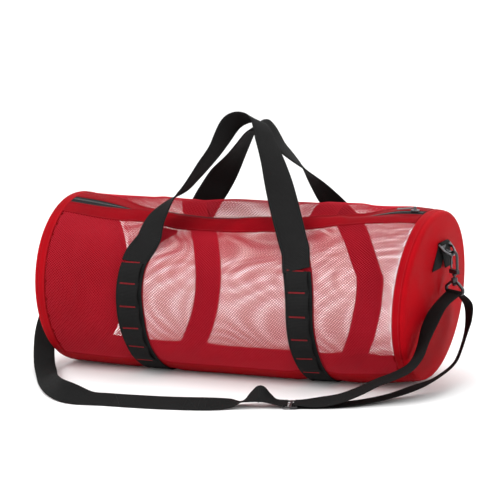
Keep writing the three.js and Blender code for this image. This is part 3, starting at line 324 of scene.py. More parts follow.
def cloudy(nodes, links, vector, scale, detail=3.0):
    node = nodes.new("ShaderNodeTexNoise")
    node.inputs["Scale"].default_value = scale
    node.inputs["Detail"].default_value = detail
    links.new(vector, node.inputs["Vector"])
    return node.outputs["Fac"]


def bumped(nodes, links, shader, height, distance):
    node = nodes.new("ShaderNodeBump")
    node.inputs["Strength"].default_value = 0.8
    node.inputs["Distance"].default_value = distance
    links.new(height, node.inputs["Height"])
    links.new(node.outputs["Normal"], shader.inputs["Normal"])


def coordinates(nodes, kind):
    node = nodes.new("ShaderNodeTexCoord")
    return node.outputs[kind]


def coated_cloth(name, dark, light):
    """Tightly woven coated cloth, with a fine square weave along its own UV and soft mottling."""
    material, nodes, links, shader = new_material(name, CLOTH_GLOSS)
    place = coordinates(nodes, "Object")
    flat = coordinates(nodes, "UV")
    mottle = cloudy(nodes, links, place, 26)
    warp = waves(nodes, links, flat, "X", 0.0011, 0.4)
    weft = waves(nodes, links, flat, "Y", 0.0011, 0.4)
    weave = maths(nodes, links, "MULTIPLY", warp, weft)
    tone = maths(nodes, links, "ADD", maths(nodes, links, "MULTIPLY", mottle, 0.75),
                 maths(nodes, links, "MULTIPLY", weave, 0.3))
    links.new(mixed(nodes, links, dark, light, tone), shader.inputs["Base Color"])
    links.new(ranged(nodes, links, mottle, 0.48, 0.7), shader.inputs["Roughness"])
    crumple = cloudy(nodes, links, place, 60, 4)
    height = maths(nodes, links, "ADD", maths(nodes, links, "MULTIPLY", crumple, 1.6), weave)
    bumped(nodes, links, shader, height, 0.0005)
    return material


def woven_webbing(name, dark, light, rib, kind="UV"):
    """Flat webbing: cross ribs with a fine twill over them."""
    material, nodes, links, shader = new_material(name, WEBBING_GLOSS)
    flat = coordinates(nodes, kind)
    place = coordinates(nodes, "Object")
    ribs = waves(nodes, links, flat, "Y", rib, 0.5)
    twill = waves(nodes, links, flat, "DIAGONAL", 0.0016, 0.8)
    fuzz = cloudy(nodes, links, place, 900, 2)
    patches = cloudy(nodes, links, place, 22)
    weave = maths(nodes, links, "ADD", maths(nodes, links, "MULTIPLY", ribs, 0.6),
                  maths(nodes, links, "MULTIPLY", twill, 0.4))
    tone = maths(nodes, links, "MULTIPLY", weave, fuzz)
    tone = maths(nodes, links, "ADD", tone, maths(nodes, links, "MULTIPLY", patches, 0.35))
    links.new(mixed(nodes, links, dark, light, tone), shader.inputs["Base Color"])
    links.new(ranged(nodes, links, patches, 0.72, 0.9), shader.inputs["Roughness"])
    bumped(nodes, links, shader, weave, 0.0004)
    return material


def moulded(name, dark, light, rough, metal=0.0, grain=400):
    """Moulded or cast stuff: faint mottling and fine grain."""
    material, nodes, links, shader = new_material(name)
    place = coordinates(nodes, "Object")
    mottle = cloudy(nodes, links, place, 90)
    speck = cloudy(nodes, links, place, grain, 2)
    links.new(mixed(nodes, links, dark, light, mottle), shader.inputs["Base Color"])
    links.new(ranged(nodes, links, speck, rough - 0.1, rough + 0.12), shader.inputs["Roughness"])
    shader.inputs["Metallic"].default_value = metal
    bumped(nodes, links, shader, speck, 0.0001)
    return material


def twisted_thread(name, dark, light):
    """Thread and net yarn: a twist that shows as small tone changes."""
    material, nodes, links, shader = new_material(name, THREAD_GLOSS)
    place = coordinates(nodes, "Object")
    twist = cloudy(nodes, links, place, 700, 2)
    drift = cloudy(nodes, links, place, 14)
    tone = maths(nodes, links, "ADD", maths(nodes, links, "MULTIPLY", twist, 0.6),
                 maths(nodes, links, "MULTIPLY", drift, 0.4))
    links.new(mixed(nodes, links, dark, light, tone), shader.inputs["Base Color"])
    links.new(ranged(nodes, links, twist, 0.5, 0.75), shader.inputs["Roughness"])
    bumped(nodes, links, shader, twist, 0.0002)
    return material


PANEL_RED = coated_cloth("panel red", (0.24, 0.001, 0.004), (0.46, 0.003, 0.008))
BASE_RED = coated_cloth("base red", (0.21, 0.001, 0.004), (0.42, 0.003, 0.008))
# Band red is the panel cloth made darker: painted shade, for the zip bands sunk in the slack top and for
# the bands seen inside the bag.
SHADED_BAND_RED = coated_cloth("band red with painted shade", (0.14, 0.001, 0.004), (0.31, 0.003, 0.008))
NET_YARN = twisted_thread("net yarn", (0.35, 0.004, 0.014), (0.58, 0.013, 0.032))
WEBBING_TONES = ((0.003, 0.003, 0.003), (0.018, 0.018, 0.018))
BLACK_WEBBING = woven_webbing("black webbing", *WEBBING_TONES, 0.0022)
FOLDED_WEBBING = woven_webbing("folded webbing", *WEBBING_TONES, 0.0022, "Object")
ZIP_BLACK = woven_webbing("zip tape black", (0.006, 0.006, 0.007), (0.03, 0.03, 0.032), 0.0012)
ZIP_COIL = moulded("zip coil", (0.02, 0.02, 0.02), (0.05, 0.05, 0.05), 0.45)
HOOK_PLASTIC = moulded("hook plastic", (0.006, 0.006, 0.007), (0.02, 0.02, 0.022), 0.34)
DARK_METAL = moulded("dark metal", (0.08, 0.08, 0.085), (0.16, 0.16, 0.17), 0.32, 1.0, 700)
BLACK_THREAD = twisted_thread("black thread", (0.004, 0.004, 0.004), (0.014, 0.014, 0.014))
RED_THREAD = twisted_thread("red thread", (0.2, 0.004, 0.008), (0.36, 0.01, 0.018))


# Meshes

def finished(name, verts, faces, material, uv=None, smooth_faces=True):
    """A mesh object with its faces pointing outwards and its UV in metres."""
    mesh = bpy.data.meshes.new(name)
    mesh.from_pydata([tuple(v) for v in verts], [], [tuple(int(i) for i in f) for f in faces])
    mesh.update()
    piece = bpy.data.objects.new(name, mesh)
    bpy.context.scene.collection.objects.link(piece)
    mesh.materials.append(material)
    if uv is not None:
        layer = mesh.uv_layers.new(name="cloth")
        corners = np.empty(len(mesh.loops), dtype=np.int32)
        mesh.loops.foreach_get("vertex_index", corners)
        layer.data.foreach_set("uv", np.asarray(uv, float)[corners].ravel())
    mesh.polygons.foreach_set("use_smooth", [smooth_faces] * len(mesh.polygons))
    return piece


def volume(verts, faces):
    """Six times the volume that quads and triangles close, positive where they point out."""
    total = 0.0
    for f in faces:
        a = verts[f[0]]
        for j in range(1, len(f) - 1):
            total += float(np.dot(a, np.cross(verts[f[j]], verts[f[j + 1]])))
    return total


def weld_poles(mesh):
    """Joins the points that meet in the middle of a disc."""
    grid = bmesh.new()
    grid.from_mesh(mesh)
    bmesh.ops.remove_doubles(grid, verts=grid.verts, dist=1e-6)
    grid.to_mesh(mesh)
    grid.free()


def walled(name, outer, inner, material, uv, around=False):
    """A closed cloth wall between an outer and an inner grid of points."""
    outer, inner = np.asarray(outer), np.asarray(inner)
    rows, points = outer.shape[:2]
    verts = np.concatenate([outer.reshape(-1, 3), inner.reshape(-1, 3)])
    count = rows * points
    steps = points if around else points - 1
    faces = []
    for i in range(rows - 1):
        for j in range(steps):
            k = (j + 1) % points
            a, b, c, d = i * points + j, (i + 1) * points + j, (i + 1) * points + k, i * points + k
            faces.append((a, b, c, d))
            faces.append((a + count, d + count, c + count, b + count))
    for j in range(steps):
        k = (j + 1) % points
        last = (rows - 1) * points
        faces.append((j, k, k + count, j + count))
        faces.append((last + j, last + j + count, last + k + count, last + k))
    if not around:
        for i in range(rows - 1):
            a, b = i * points, (i + 1) * points
            faces.append((a, a + count, b + count, b))
            faces.append((a + steps, b + steps, b + steps + count, a + steps + count))
    if volume(verts, faces) < 0:
        faces = [f[::-1] for f in faces]
    flat = np.asarray(uv, float).reshape(-1, 2)
    piece = finished(name, verts, faces, material, np.concatenate([flat, flat]))
    if around:
        weld_poles(piece.data)
    soften(piece)
    return piece


def soften(piece, degrees=50):
    """Smooth shading with its sharp edges kept, baked into the mesh."""
    mesh = piece.data
    mesh.polygons.foreach_set("use_smooth", [True] * len(mesh.polygons))
    mesh.set_sharp_from_angle(angle=math.radians(degrees))


def cloth_panel(name, xs, degrees, proud, thickness, material):
    """A panel of cloth on the bag between two stations and two places round the hoop."""
    x, d = np.meshgrid(xs, degrees, indexing="ij")
    lift = proud(d)
    outer, inner = on_bag(x, d, lift), on_bag(x, d, lift - thickness)
    uv = np.stack([x, np.radians(d) * RADIUS], -1)
    return walled(name, outer, inner, material, uv)


# The cross-section of webbing: shares of its width and of its thickness at each.
EDGE_SHARES = np.array([-0.5, -0.485, -0.3, 0.0, 0.3, 0.485, 0.5])
EDGE_FULL = np.array([0.35, 0.9, 1.0, 1.0, 1.0, 0.9, 0.35])


def strip_on(name, hoop, degrees, width, thickness, inner_proud, material):
    """A strip of webbing sewn on the bag, with thin rounded edges."""
    degrees = np.asarray(degrees, float)
    d, s = np.meshgrid(degrees, EDGE_SHARES, indexing="ij")
    x = hoop_x(hoop, d) + s * width
    middle = inner_proud(d) + thickness / 2
    half = thickness / 2 * np.broadcast_to(EDGE_FULL, d.shape)
    outer, inner = on_bag(x, d, middle + half), on_bag(x, d, middle - half)
    uv = np.stack([s * width, np.radians(d) * RADIUS], -1)
    return walled(name, outer, inner, material, uv)


def rounded_line(points, steps):
    """Points on a smooth curve through the given ones, with steps between each two."""
    points = np.asarray(points, float)
    padded_line = np.concatenate([points[:1], points, points[-1:]])
    out = []
    for i in range(1, len(padded_line) - 2):
        p0, p1, p2, p3 = padded_line[i - 1 : i + 3]
        t1 = np.linalg.norm(p1[:3] - p0[:3]) ** 0.5 + 1e-6
        t2 = np.linalg.norm(p2[:3] - p1[:3]) ** 0.5 + 1e-6
        t3 = np.linalg.norm(p3[:3] - p2[:3]) ** 0.5 + 1e-6
        m1 = t2 * ((p1 - p0) / t1 - (p2 - p0) / (t1 + t2) + (p2 - p1) / t2)
        m2 = t2 * ((p2 - p1) / t2 - (p3 - p1) / (t2 + t3) + (p3 - p2) / t3)
        if t1 < 1e-3:
            m1 = p2 - p1
        if t3 < 1e-3:
            m2 = p2 - p1
        for k in np.linspace(0, 1, steps, endpoint=False):
            h = (2 * k**3 - 3 * k**2 + 1, k**3 - 2 * k**2 + k, -2 * k**3 + 3 * k**2, k**3 - k**2)
            out.append(h[0] * p1 + h[1] * m1 + h[2] * p2 + h[3] * m2)
    out.append(padded_line[-2])
    return np.array(out)


def path_frames(name, steps=5):
    """The middle line of a free strip, with its width and face directions."""
    line = rounded_line(np.array(PATHS[name]) * [MM, MM, MM, 1, 1, 1], steps)
    at, across = line[:, :3], line[:, 3:]
    run = np.gradient(at, axis=0)
    run /= np.linalg.norm(run, axis=1, keepdims=True)
    across = across - run * np.sum(across * run, axis=1, keepdims=True)
    across /= np.linalg.norm(across, axis=1, keepdims=True)
    length = np.concatenate([[0], np.cumsum(np.linalg.norm(np.diff(at, axis=0), axis=1))])
    return at, across, np.cross(across, run), length


def free_strip(name, path, width, thickness, material):
    """A free length of webbing along its path."""
    at, across, out, length = path_frames(path)
    shares = EDGE_SHARES[None, :, None]
    base = at[:, None] + across[:, None] * shares * width
    half = out[:, None] * (thickness / 2 * EDGE_FULL)[None, :, None]
    u = np.broadcast_to(EDGE_SHARES * width, base.shape[:2])
    v = np.broadcast_to(length[:, None], base.shape[:2])
    return walled(name, base + half, base - half, material, np.stack([u, v], -1))


# Geometry Nodes for what repeats

def new_tree(name, sizes):
    tree = bpy.data.node_groups.new(name, "GeometryNodeTree")
    tree.interface.new_socket("Geometry", in_out="INPUT", socket_type="NodeSocketGeometry")
    for label in sizes:
        tree.interface.new_socket(label, in_out="INPUT", socket_type="NodeSocketFloat")
    tree.interface.new_socket("Material", in_out="INPUT", socket_type="NodeSocketMaterial")
    tree.interface.new_socket("Geometry", in_out="OUTPUT", socket_type="NodeSocketGeometry")
    return tree, tree.nodes.new("NodeGroupInput"), tree.nodes.new("NodeGroupOutput")


def yarn_tree():
    """Net yarn: a three-sided cord along every edge."""
    tree, given, result = new_tree("net yarn along lines", ["Radius"])
    nodes = tree.nodes
    to_curve = nodes.new("GeometryNodeMeshToCurve")
    circle = nodes.new("GeometryNodeCurvePrimitiveCircle")
    circle.inputs["Resolution"].default_value = 3
    sweep = nodes.new("GeometryNodeCurveToMesh")
    realize = nodes.new("GeometryNodeRealizeInstances")
    paint = nodes.new("GeometryNodeSetMaterial")
    tree.links.new(given.outputs["Radius"], circle.inputs["Radius"])
    tree.links.new(given.outputs["Geometry"], to_curve.inputs["Mesh"])
    tree.links.new(to_curve.outputs["Curve"], sweep.inputs["Curve"])
    tree.links.new(circle.outputs["Curve"], sweep.inputs["Profile Curve"])
    sweep.inputs["Fill Caps"].default_value = True
    tree.links.new(sweep.outputs["Mesh"], realize.inputs["Geometry"])
    tree.links.new(realize.outputs["Geometry"], paint.inputs["Geometry"])
    tree.links.new(given.outputs["Material"], paint.inputs["Material"])
    tree.links.new(paint.outputs["Geometry"], result.inputs["Geometry"])
    return tree


def stitch_tree():
    """Stitches: a short bar at every pitch of each line, lying along it."""
    tree, given, result = new_tree("stitches along lines", ["Pitch", "Length", "Radius"])
    nodes = tree.nodes
    to_curve = nodes.new("GeometryNodeMeshToCurve")
    spaced = nodes.new("GeometryNodeResampleCurve")
    spaced.mode = "LENGTH"
    bar = nodes.new("GeometryNodeMeshCylinder")
    bar.inputs["Vertices"].default_value = 6
    place = nodes.new("GeometryNodeInstanceOnPoints")
    tangent = nodes.new("GeometryNodeInputTangent")
    turn = nodes.new("FunctionNodeAlignRotationToVector")
    turn.axis = "Z"
    realize = nodes.new("GeometryNodeRealizeInstances")
    paint = nodes.new("GeometryNodeSetMaterial")
    links = tree.links
    links.new(given.outputs["Geometry"], to_curve.inputs["Mesh"])
    links.new(to_curve.outputs["Curve"], spaced.inputs["Curve"])
    links.new(given.outputs["Pitch"], spaced.inputs["Length"])
    links.new(given.outputs["Length"], bar.inputs["Depth"])
    links.new(given.outputs["Radius"], bar.inputs["Radius"])
    links.new(spaced.outputs["Curve"], place.inputs["Points"])
    links.new(bar.outputs["Mesh"], place.inputs["Instance"])
    links.new(tangent.outputs["Tangent"], turn.inputs["Vector"])
    links.new(turn.outputs["Rotation"], place.inputs["Rotation"])
    links.new(place.outputs["Instances"], realize.inputs["Geometry"])
    links.new(realize.outputs["Geometry"], paint.inputs["Geometry"])
    links.new(given.outputs["Material"], paint.inputs["Material"])
    links.new(paint.outputs["Geometry"], result.inputs["Geometry"])
    return tree


YARN = yarn_tree()
STITCHES = stitch_tree()


def along_lines(name, lines, tree, sizes, material):
    """A piece that a tree makes along lines, each an array of points, as a plain mesh."""
    verts = np.concatenate(lines)
    edges, start = [], 0
    for line in lines:
        edges += [(start + i, start + i + 1) for i in range(len(line) - 1)]
        start += len(line)
    mesh = bpy.data.meshes.new(name + " lines")
    mesh.from_pydata([tuple(v) for v in verts], edges, [])
    carrier = bpy.data.objects.new(name + "_lines", mesh)
    bpy.context.scene.collection.objects.link(carrier)
    modifier = carrier.modifiers.new("made along lines", "NODES")
    modifier.node_group = tree
    named = {s.name: s.identifier for s in tree.interface.items_tree if s.in_out == "INPUT"}
    for label, value in sizes.items():
        modifier[named[label]] = float(value)
    modifier[named["Material"]] = material
    bpy.context.view_layer.update()
    evaluated = carrier.evaluated_get(bpy.context.evaluated_depsgraph_get())
    made = bpy.data.meshes.new_from_object(evaluated)
    made.name = name
    bpy.data.objects.remove(carrier)
    piece = bpy.data.objects.new(name, made)
    bpy.context.scene.collection.objects.link(piece)
    if not made.materials:
        made.materials.append(material)
    return piece


def stitched(name, lines, material, length=0.0026, radius=0.00038, pitch=STITCH_PITCH):
    sizes = {"Pitch": pitch, "Length": length, "Radius": radius}
    return along_lines(name, lines, STITCHES, sizes, material)


def refined(node, material, bevel, segments=3):
    """A copy of a hard CAD part with merged points, rounded edges and smooth shading."""
    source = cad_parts[node]
    mesh = source.data.copy()
    piece = bpy.data.objects.new(node + "_finished", mesh)
    bpy.context.scene.collection.objects.link(piece)
    mesh.materials.clear()
    mesh.materials.append(material)
    weld = piece.modifiers.new("weld", "WELD")
    weld.merge_threshold = 0.00002
    planar = piece.modifiers.new("flat faces", "DECIMATE")
    planar.decimate_type = "DISSOLVE"
    planar.angle_limit = math.radians(1)
    rounding = piece.modifiers.new("rounding", "BEVEL")
    rounding.width = bevel
    rounding.segments = segments
    rounding.limit_method = "ANGLE"
    rounding.angle_limit = math.radians(28)
    rounding.use_clamp_overlap = True
    bpy.context.view_layer.update()
    evaluated = piece.evaluated_get(bpy.context.evaluated_depsgraph_get())
    made = bpy.data.meshes.new_from_object(evaluated)
    piece.modifiers.clear()
    piece.data = made
    made.materials.clear()
    made.materials.append(material)
    made.polygons.foreach_set("material_index", [0] * len(made.polygons))
    soften(piece, 35)
    return piece


def stand_for(piece, slot, *nodes, body="bag"):
    """The piece rides on its body and replaces its CAD nodes; slot is not used."""
    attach(piece, body)
    if nodes:
        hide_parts(*nodes)
    return piece


# The bag

SIDES = {"left": -1, "right": 1}
SEAM_DEGREES = math.degrees(SEAM_GAP / RADIUS)
HALF_TAPE = math.degrees(0.011 / RADIUS)
BAND_DEGREES = math.degrees(0.035 / RADIUS)
FRONT_BAND_AT = ZIP_AT - HALF_TAPE - BAND_DEGREES
BACK_BAND_AT = ZIP_AT + HALF_TAPE + BAND_DEGREES


def net_panel(name, low, high, slope):
    """Two crossing sets of diagonal yarns between two places round the hoop."""
    bottom, top = math.radians(low) * RADIUS, math.radians(high) * RADIUS
    reach = slope * (top - bottom)
    diagonal = STRAND_PITCH * math.hypot(1, slope)
    lines = []
    for way, depth in ((1, 0.45 * MM), (-1, 1.05 * MM)):
        for c in np.arange(-SHEET_END - reach, SHEET_END + reach, diagonal):
            s = np.append(np.arange(bottom, top, 0.0045), top)
            x = c + slope * ((s - bottom) if way > 0 else (top - s))
            keep = np.abs(x) <= SHEET_END
            if np.count_nonzero(keep) < 2:
                continue
            lines.append(on_bag(x[keep], np.degrees(s[keep] / RADIUS), -depth))
    return along_lines(name, lines, YARN, {"Radius": STRAND_RADIUS}, NET_YARN)


def make_body():
    stand_for(net_panel("net_front_yarn", BASE_FRONT_AT, FRONT_BAND_AT, 1.0), "net", "net_front")
    stand_for(net_panel("net_back_yarn", BACK_BAND_AT, BASE_BACK_AT, 1.45), "net", "net_back")
    xs = np.linspace(-SHEET_END, SHEET_END, 120)

    def panel(name, low, high, node, material, bulge):
        count = max(8, int((high - low) / 1.2))
        d = np.linspace(low + SEAM_DEGREES / 2, high - SEAM_DEGREES / 2, count)

        def proud(at):
            share = np.clip((at - low) / (high - low), 0, 1)
            return bulge * np.sin(math.pi * share) ** 0.5 if bulge else 0 * share

        slot = "panel" if material is not ZIP_BLACK else "zip"
        stand_for(cloth_panel(name, xs, d, proud, PANEL_THICKNESS, material), slot, node)

    panel("base_cloth", BASE_BACK_AT - FULL_TURN, BASE_FRONT_AT, "base_panel", BASE_RED, 0)
    panel("zip_band_front_cloth", FRONT_BAND_AT, ZIP_AT - HALF_TAPE, "zip_band_front", SHADED_BAND_RED, 0.6 * MM)
    panel("zip_band_back_cloth", ZIP_AT + HALF_TAPE, BACK_BAND_AT, "zip_band_back", SHADED_BAND_RED, 0.6 * MM)
    panel("zip_tape_cloth", ZIP_AT - HALF_TAPE, ZIP_AT + HALF_TAPE, "zip_tape", ZIP_BLACK, 0)


def line_on(xs, degrees, proud):
    """A line of points on the bag, for stitches and teeth."""
    return on_bag(np.asarray(xs, float), np.asarray(degrees, float), proud)


def make_zip():
    """The coil's teeth from both sides, and the seams beside the tape."""
    xs = np.linspace(-SHEET_END + 0.002, SHEET_END - 0.002, 200)
    teeth = []
    long, short = math.degrees(TOOTH_LONG / RADIUS), math.degrees(TOOTH_SHORT / RADIUS)
    for x in np.arange(-SHEET_END + 0.003, SHEET_END - 0.003, TOOTH_PITCH):
        teeth.append(line_on([x, x], [ZIP_AT - long, ZIP_AT + short], ON_TAPE))
        teeth.append(line_on([x + TOOTH_PITCH / 2] * 2, [ZIP_AT - short, ZIP_AT + long], ON_TAPE))
    coil = along_lines("zip_coil", teeth, YARN, {"Radius": 0.0005}, ZIP_COIL)
    stand_for(coil, "zip")
    seams = []
    for at in (ZIP_AT - HALF_TAPE, ZIP_AT + HALF_TAPE):
        side = 1 if at > ZIP_AT else -1
        for off in (1.4, 4.2):
            seams.append(line_on(xs, at + side * math.degrees(off * MM / RADIUS), ON_TAPE))
    for at in (FRONT_BAND_AT, BACK_BAND_AT):
        side = -1 if at > ZIP_AT else 1
        seams.append(line_on(xs, at + side * math.degrees(2.5 * MM / RADIUS), ON_TAPE))
    stand_for(stitched("zip_band_seams", seams, RED_THREAD), "panel")
    base = [line_on(xs, at, 0.0002) for at in (BASE_FRONT_AT - 1.1, BASE_BACK_AT - FULL_TURN + 1.1)]
    stand_for(stitched("base_seams", base, RED_THREAD), "panel")


def end_rings(side, degrees, depth):
    """Rings of an end panel from its rim to its middle, at a depth in the cloth."""
    x = side * HALF_LENGTH
    rim = surface(np.full(len(degrees), x), degrees)
    middle = (surface(x, 0.0) + surface(x, 180.0)) / 2
    flat = RADIUS - CORNER_RADIUS
    rings = []
    for turn in np.radians(np.arange(0, 91, 15)):
        inward = CORNER_RADIUS - (CORNER_RADIUS - depth) * math.cos(turn)
        rings.append((inward, (CORNER_RADIUS - depth) * math.sin(turn)))
    for share in np.linspace(0.95, 0.0, 16):
        rings.append((RADIUS - share * flat, CORNER_RADIUS - depth + END_DOME * (1 - share**2)))
    grid = []
    for inward, out in rings:
        share = 1 - inward / RADIUS
        ring = middle + (rim - middle) * share
        t = np.radians(degrees)
        soft = share * (1 - share) * 4
        dent = 1.5 * MM * soft * (np.sin(3 * t + 1.2 + side) + 0.6 * np.sin(5 * t - 9 * share))
        ring[:, 0] += side * (SEAM_GAP + out) + side * dent
        grid.append(ring)
    return np.array(grid)


def make_ends():
    degrees = np.arange(RIM_START, RIM_START + FULL_TURN, 3.0)
    for name, side in SIDES.items():
        outer, inner = end_rings(side, degrees, 0.0), end_rings(side, degrees, PANEL_THICKNESS)
        uv = outer[..., 1:] - outer[-1, 0, 1:]
        disc = walled(f"end_cloth_{name}", outer, inner, PANEL_RED, uv, around=True)
        stand_for(disc, "panel", f"end_panel_{name}")
        share = np.linspace(0, 1, 7)
        across = SHEET_END + SEAM_GAP + share * (HALF_LENGTH - SHEET_END - SEAM_GAP)
        x, d = np.meshgrid(side * across, degrees, indexing="ij")
        bulge = np.broadcast_to((0.9 * MM * np.sin(math.pi * share) ** 0.6)[:, None], x.shape)
        ground = ramp(surface(x, d)[..., 2], 0.004, 0.03)
        outer = on_bag(x, d, bulge * ground)
        inner = on_bag(x, d, np.full(x.shape, -BINDING_THICKNESS))
        uv = np.stack([x, np.radians(d) * RADIUS], -1)
        ring = walled(f"end_binding_cloth_{name}", outer, inner, BASE_RED, uv, around=True)
        stand_for(ring, "panel", f"end_binding_{name}")
        ring_degrees = np.arange(RIM_START, RIM_START + FULL_TURN + 0.1, 1.5)
        seams = [line_on(np.full(len(ring_degrees), side * at), ring_degrees, 0.0005)
                 for at in (SHEET_END + 0.0025, HALF_LENGTH - 0.0025)]
        stand_for(stitched(f"end_seams_{name}", seams, RED_THREAD), "panel")


def make_webbing():
    for name, hoop in WEBBING_HOOPS.items():
        sewn = np.arange(BACK_TACK_AT, FULL_TURN + FRONT_TACK_AT + 0.01, 1.6)
        sewn = np.append(sewn, FULL_TURN + FRONT_TACK_AT)
        degrees = np.where(sewn > WRAP_AT, sewn - FULL_TURN, sewn)
        strip = strip_on(f"webbing_{name}_sewn", hoop, degrees, WEBBING_WIDTH, WEBBING_THICKNESS,
                         lambda d: np.full(d.shape, LAYER_GAP), BLACK_WEBBING)
        stand_for(strip, "webbing", f"webbing_{name}")
        inside = -PANEL_THICKNESS - 2 * LAYER_GAP - INNER_BAND_THICKNESS
        band_at = np.arange(BACK_BAND_AT, FULL_TURN + FRONT_BAND_AT, 2.0)
        band_at = np.where(band_at > WRAP_AT, band_at - FULL_TURN, band_at)
        band = strip_on(f"inner_band_{name}_cloth", hoop, band_at, INNER_BAND_WIDTH, INNER_BAND_THICKNESS,
                        lambda d: np.full(d.shape, inside), SHADED_BAND_RED)
        stand_for(band, "band", f"inner_band_{name}")
        step = math.degrees(LOOP_PITCH / RADIUS)
        at = FRONT_TACK_AT - np.arange(0, LOOP_COUNT + 0.001, 1 / 14) * step

        def puffed(d):
            share = (FRONT_TACK_AT - d) / step
            rise = np.abs(np.sin(math.pi * share)) ** 1.3
            return LAYER_GAP * 2 + WEBBING_THICKNESS + LOOP_PUFF * rise

        sewn = f"gear_loops_{name}_sewn"
        loops = strip_on(sewn, hoop, at, LOOP_WIDTH, LOOP_THICKNESS, puffed, BLACK_WEBBING)
        stand_for(loops, "webbing", f"gear_loops_{name}")
        tacks, edges = [], []
        for i in range(LOOP_COUNT + 1):
            d = FRONT_TACK_AT - i * step
            for off in (-0.28, 0.28):
                s = np.linspace(-0.42, 0.3, 24) * LOOP_WIDTH
                dd = np.full(len(s), d + off)
                tacks.append(line_on(hoop_x(hoop, dd) + s, dd, puffed(dd) + LOOP_THICKNESS))
        tacked = stitched(f"gear_loop_tacks_{name}", tacks, RED_THREAD, 0.0022, 0.0004, 0.0024)
        stand_for(tacked, "webbing")
        stitch_rise = LAYER_GAP + WEBBING_THICKNESS + 0.00005
        for s in (-0.46, 0.46):
            edges.append(line_on(hoop_x(hoop, degrees) + s * WEBBING_WIDTH, degrees, stitch_rise))
        stand_for(stitched(f"webbing_seams_{name}", edges, BLACK_THREAD, *FINE_STITCH), "webbing")


def edge_lines(path, width, thickness, inset=0.44, start=0.0, stop=1.0):
    """Two lines near the edges of a free strip, on both its faces."""
    at, across, out, length = path_frames(path)
    keep = (length >= start * length[-1]) & (length <= stop * length[-1])
    lines = []
    for s in (-inset, inset):
        for face in (-1, 1):
            line = at + across * s * width + out * face * (thickness / 2)
            lines.append(line[keep])
    return lines


def box_lines(path, width, thickness, start, stop):
    """A sewn box with crossing lines on both faces of a strip, between two lengths along it."""
    at, across, out, length = path_frames(path)
    corners = [(start, -0.4), (start, 0.4), (stop, 0.4), (stop, -0.4)]
    ends = list(zip(corners, corners[1:] + corners[:1]))
    ends += [(corners[0], corners[2]), (corners[1], corners[3])]
    lines = []
    for (low, left), (high, right) in ends:
        along, share = np.linspace(low, high, 12), np.linspace(left, right, 12)
        for face in (-1, 1):
            middle, side, top = [
                np.stack([np.interp(along, length, part[:, i]) for i in range(3)], -1)
                for part in (at, across, out)
            ]
            lines.append(middle + side * share[:, None] * width + top * face * thickness / 2)
    return lines


def make_straps():
    for path in ("handle_front", "handle_rear"):
        strip = free_strip(f"{path}_webbing", path, WEBBING_WIDTH, WEBBING_THICKNESS, BLACK_WEBBING)
        stand_for(strip, "webbing", path)
        seams = edge_lines(path, WEBBING_WIDTH, WEBBING_THICKNESS)
        stand_for(stitched(f"{path}_seams", seams, BLACK_THREAD, *FINE_STITCH), "webbing")
    for path in ("shoulder_strap", "shoulder_strap_loop"):
        strip = free_strip(f"{path}_webbing", path, STRAP_WIDTH, STRAP_THICKNESS, BLACK_WEBBING)
        stand_for(strip, "webbing", path)
    boxes = []
    for start, stop in SEWN_BOXES:
        boxes += box_lines("shoulder_strap", STRAP_WIDTH, STRAP_THICKNESS, start, stop)
    stand_for(stitched("strap_box_seams", boxes, BLACK_THREAD, 0.0026, 0.0005), "webbing")


def make_fittings():
    for side in SIDES:
        anchor = f"strap_anchor_{side}"
        stand_for(refined(anchor, FOLDED_WEBBING, 0.0004, 2), "webbing", anchor)
        stand_for(refined(f"d_ring_{side}", DARK_METAL, 0.0007, 2), "metal", f"d_ring_{side}")
        stand_for(refined(f"hook_body_{side}", HOOK_PLASTIC, 0.0007), "plastic", f"hook_body_{side}")
        stand_for(refined(f"hook_eye_{side}", HOOK_PLASTIC, 0.0008), "plastic", f"hook_eye_{side}")
        stand_for(refined(f"hook_gate_{side}", DARK_METAL, 0.0008), "metal", f"hook_gate_{side}",
                  body=f"gate_{side}")
    stand_for(refined("strap_slider", HOOK_PLASTIC, 0.0006), "plastic", "strap_slider")
    stand_for(refined("zip_slider", DARK_METAL, 0.0005), "metal", "zip_slider")
    stand_for(refined("zip_pull", DARK_METAL, 0.0004), "metal", "zip_pull", body="pull")


# The picture

def make_stage():
    """A wide white floor that curves up far behind, for soft even light."""
    size, back, bend = 6.0, 2.6, 1.2
    profile = [(-size, 0.0), (back, 0.0)]
    turns = np.radians(range(10, 91, 10))
    profile += [(back + bend * math.sin(t), bend * (1 - math.cos(t))) for t in turns]
    profile.append((back + bend, 4.0))
    verts = [(x, y, z) for x in (-size, size) for y, z in profile]
    count = len(profile)
    faces = [(i, i + 1, i + 1 + count, i + count) for i in range(count - 1)]
    floor_paint, nodes, links, shader = new_material("studio floor")
    shade = cloudy(nodes, links, coordinates(nodes, "Object"), 0.7)
    tone = mixed(nodes, links, (0.86, 0.86, 0.86), (0.9, 0.9, 0.9), shade)
    links.new(tone, shader.inputs["Base Color"])
    shader.inputs["Roughness"].default_value = 0.8
    floor = finished("studio_floor", np.array(verts), [f[::-1] for f in faces], floor_paint)


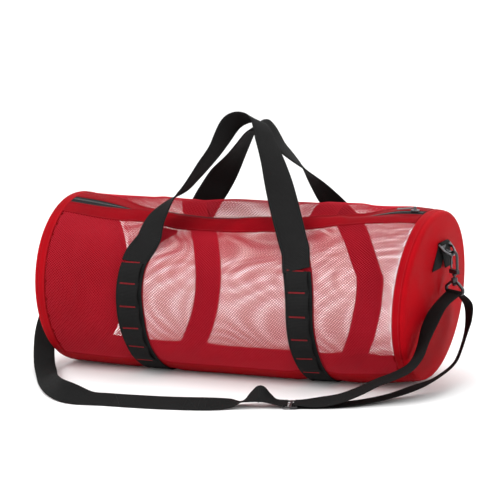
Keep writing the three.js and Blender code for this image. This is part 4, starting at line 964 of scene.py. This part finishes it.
def make_lights():
    world = bpy.data.worlds.new("studio")
    bpy.context.scene.world = world
    world.use_nodes = True
    world.node_tree.nodes["Background"].inputs["Color"].default_value = (1, 1, 1, 1)
    world.node_tree.nodes["Background"].inputs["Strength"].default_value = 0.95
    bpy.context.scene.view_settings.view_transform = "Standard"
    panels = (
        ("key", (-1.4, -2.2, 2.4), 2.0, 60),
        ("fill", (2.6, -1.6, 1.5), 2.4, 34),
        ("top", (0.2, 0.3, 2.8), 2.2, 34),
        ("rim", (0.8, 2.4, 1.9), 1.8, 26),
    )
    for name, place, size, watts in panels:
        lamp = bpy.data.lights.new(name, "AREA")
        lamp.size, lamp.energy = size, watts
        holder = bpy.data.objects.new(name, lamp)
        holder.location = place
        aim = Vector((0, 0, 0.15)) - Vector(place)
        holder.rotation_euler = aim.to_track_quat("-Z", "Y").to_euler()
        bpy.context.scene.collection.objects.link(holder)


def make_camera():
    """The photograph's view: from the right of the front, a little above, turned slightly."""
    azimuth, elevation, roll, distance = math.radians(26), math.radians(11), math.radians(-2), 3.8
    scale, aim_x, aim_y, frame_px = 569, 249.5, 286.4, 500
    target = Vector((0, 0, 0.15))
    level = math.cos(elevation)
    back = Vector((math.sin(azimuth) * level, -math.cos(azimuth) * level, math.sin(elevation)))
    right = (-back).cross(Vector((0, 0, 1))).normalized()
    up = right.cross(-back)
    turned_right = math.cos(roll) * right + math.sin(roll) * up
    turned_up = -math.sin(roll) * right + math.cos(roll) * up
    camera = bpy.data.cameras.new("camera")
    camera.sensor_width = 36
    camera.lens = scale * distance / frame_px * camera.sensor_width
    camera.shift_x = (frame_px / 2 - aim_x) / frame_px
    camera.shift_y = (aim_y - frame_px / 2) / frame_px
    camera.clip_end = 50
    holder = bpy.data.objects.new("camera", camera)
    basis = Matrix((turned_right, turned_up, back)).transposed().to_4x4()
    holder.matrix_world = Matrix.Translation(target + back * distance) @ basis
    bpy.context.scene.collection.objects.link(holder)
    bpy.context.scene.camera = holder


make_camera()
make_body()
make_zip()
make_ends()
make_webbing()
make_straps()
make_fittings()
make_stage()
make_lights()
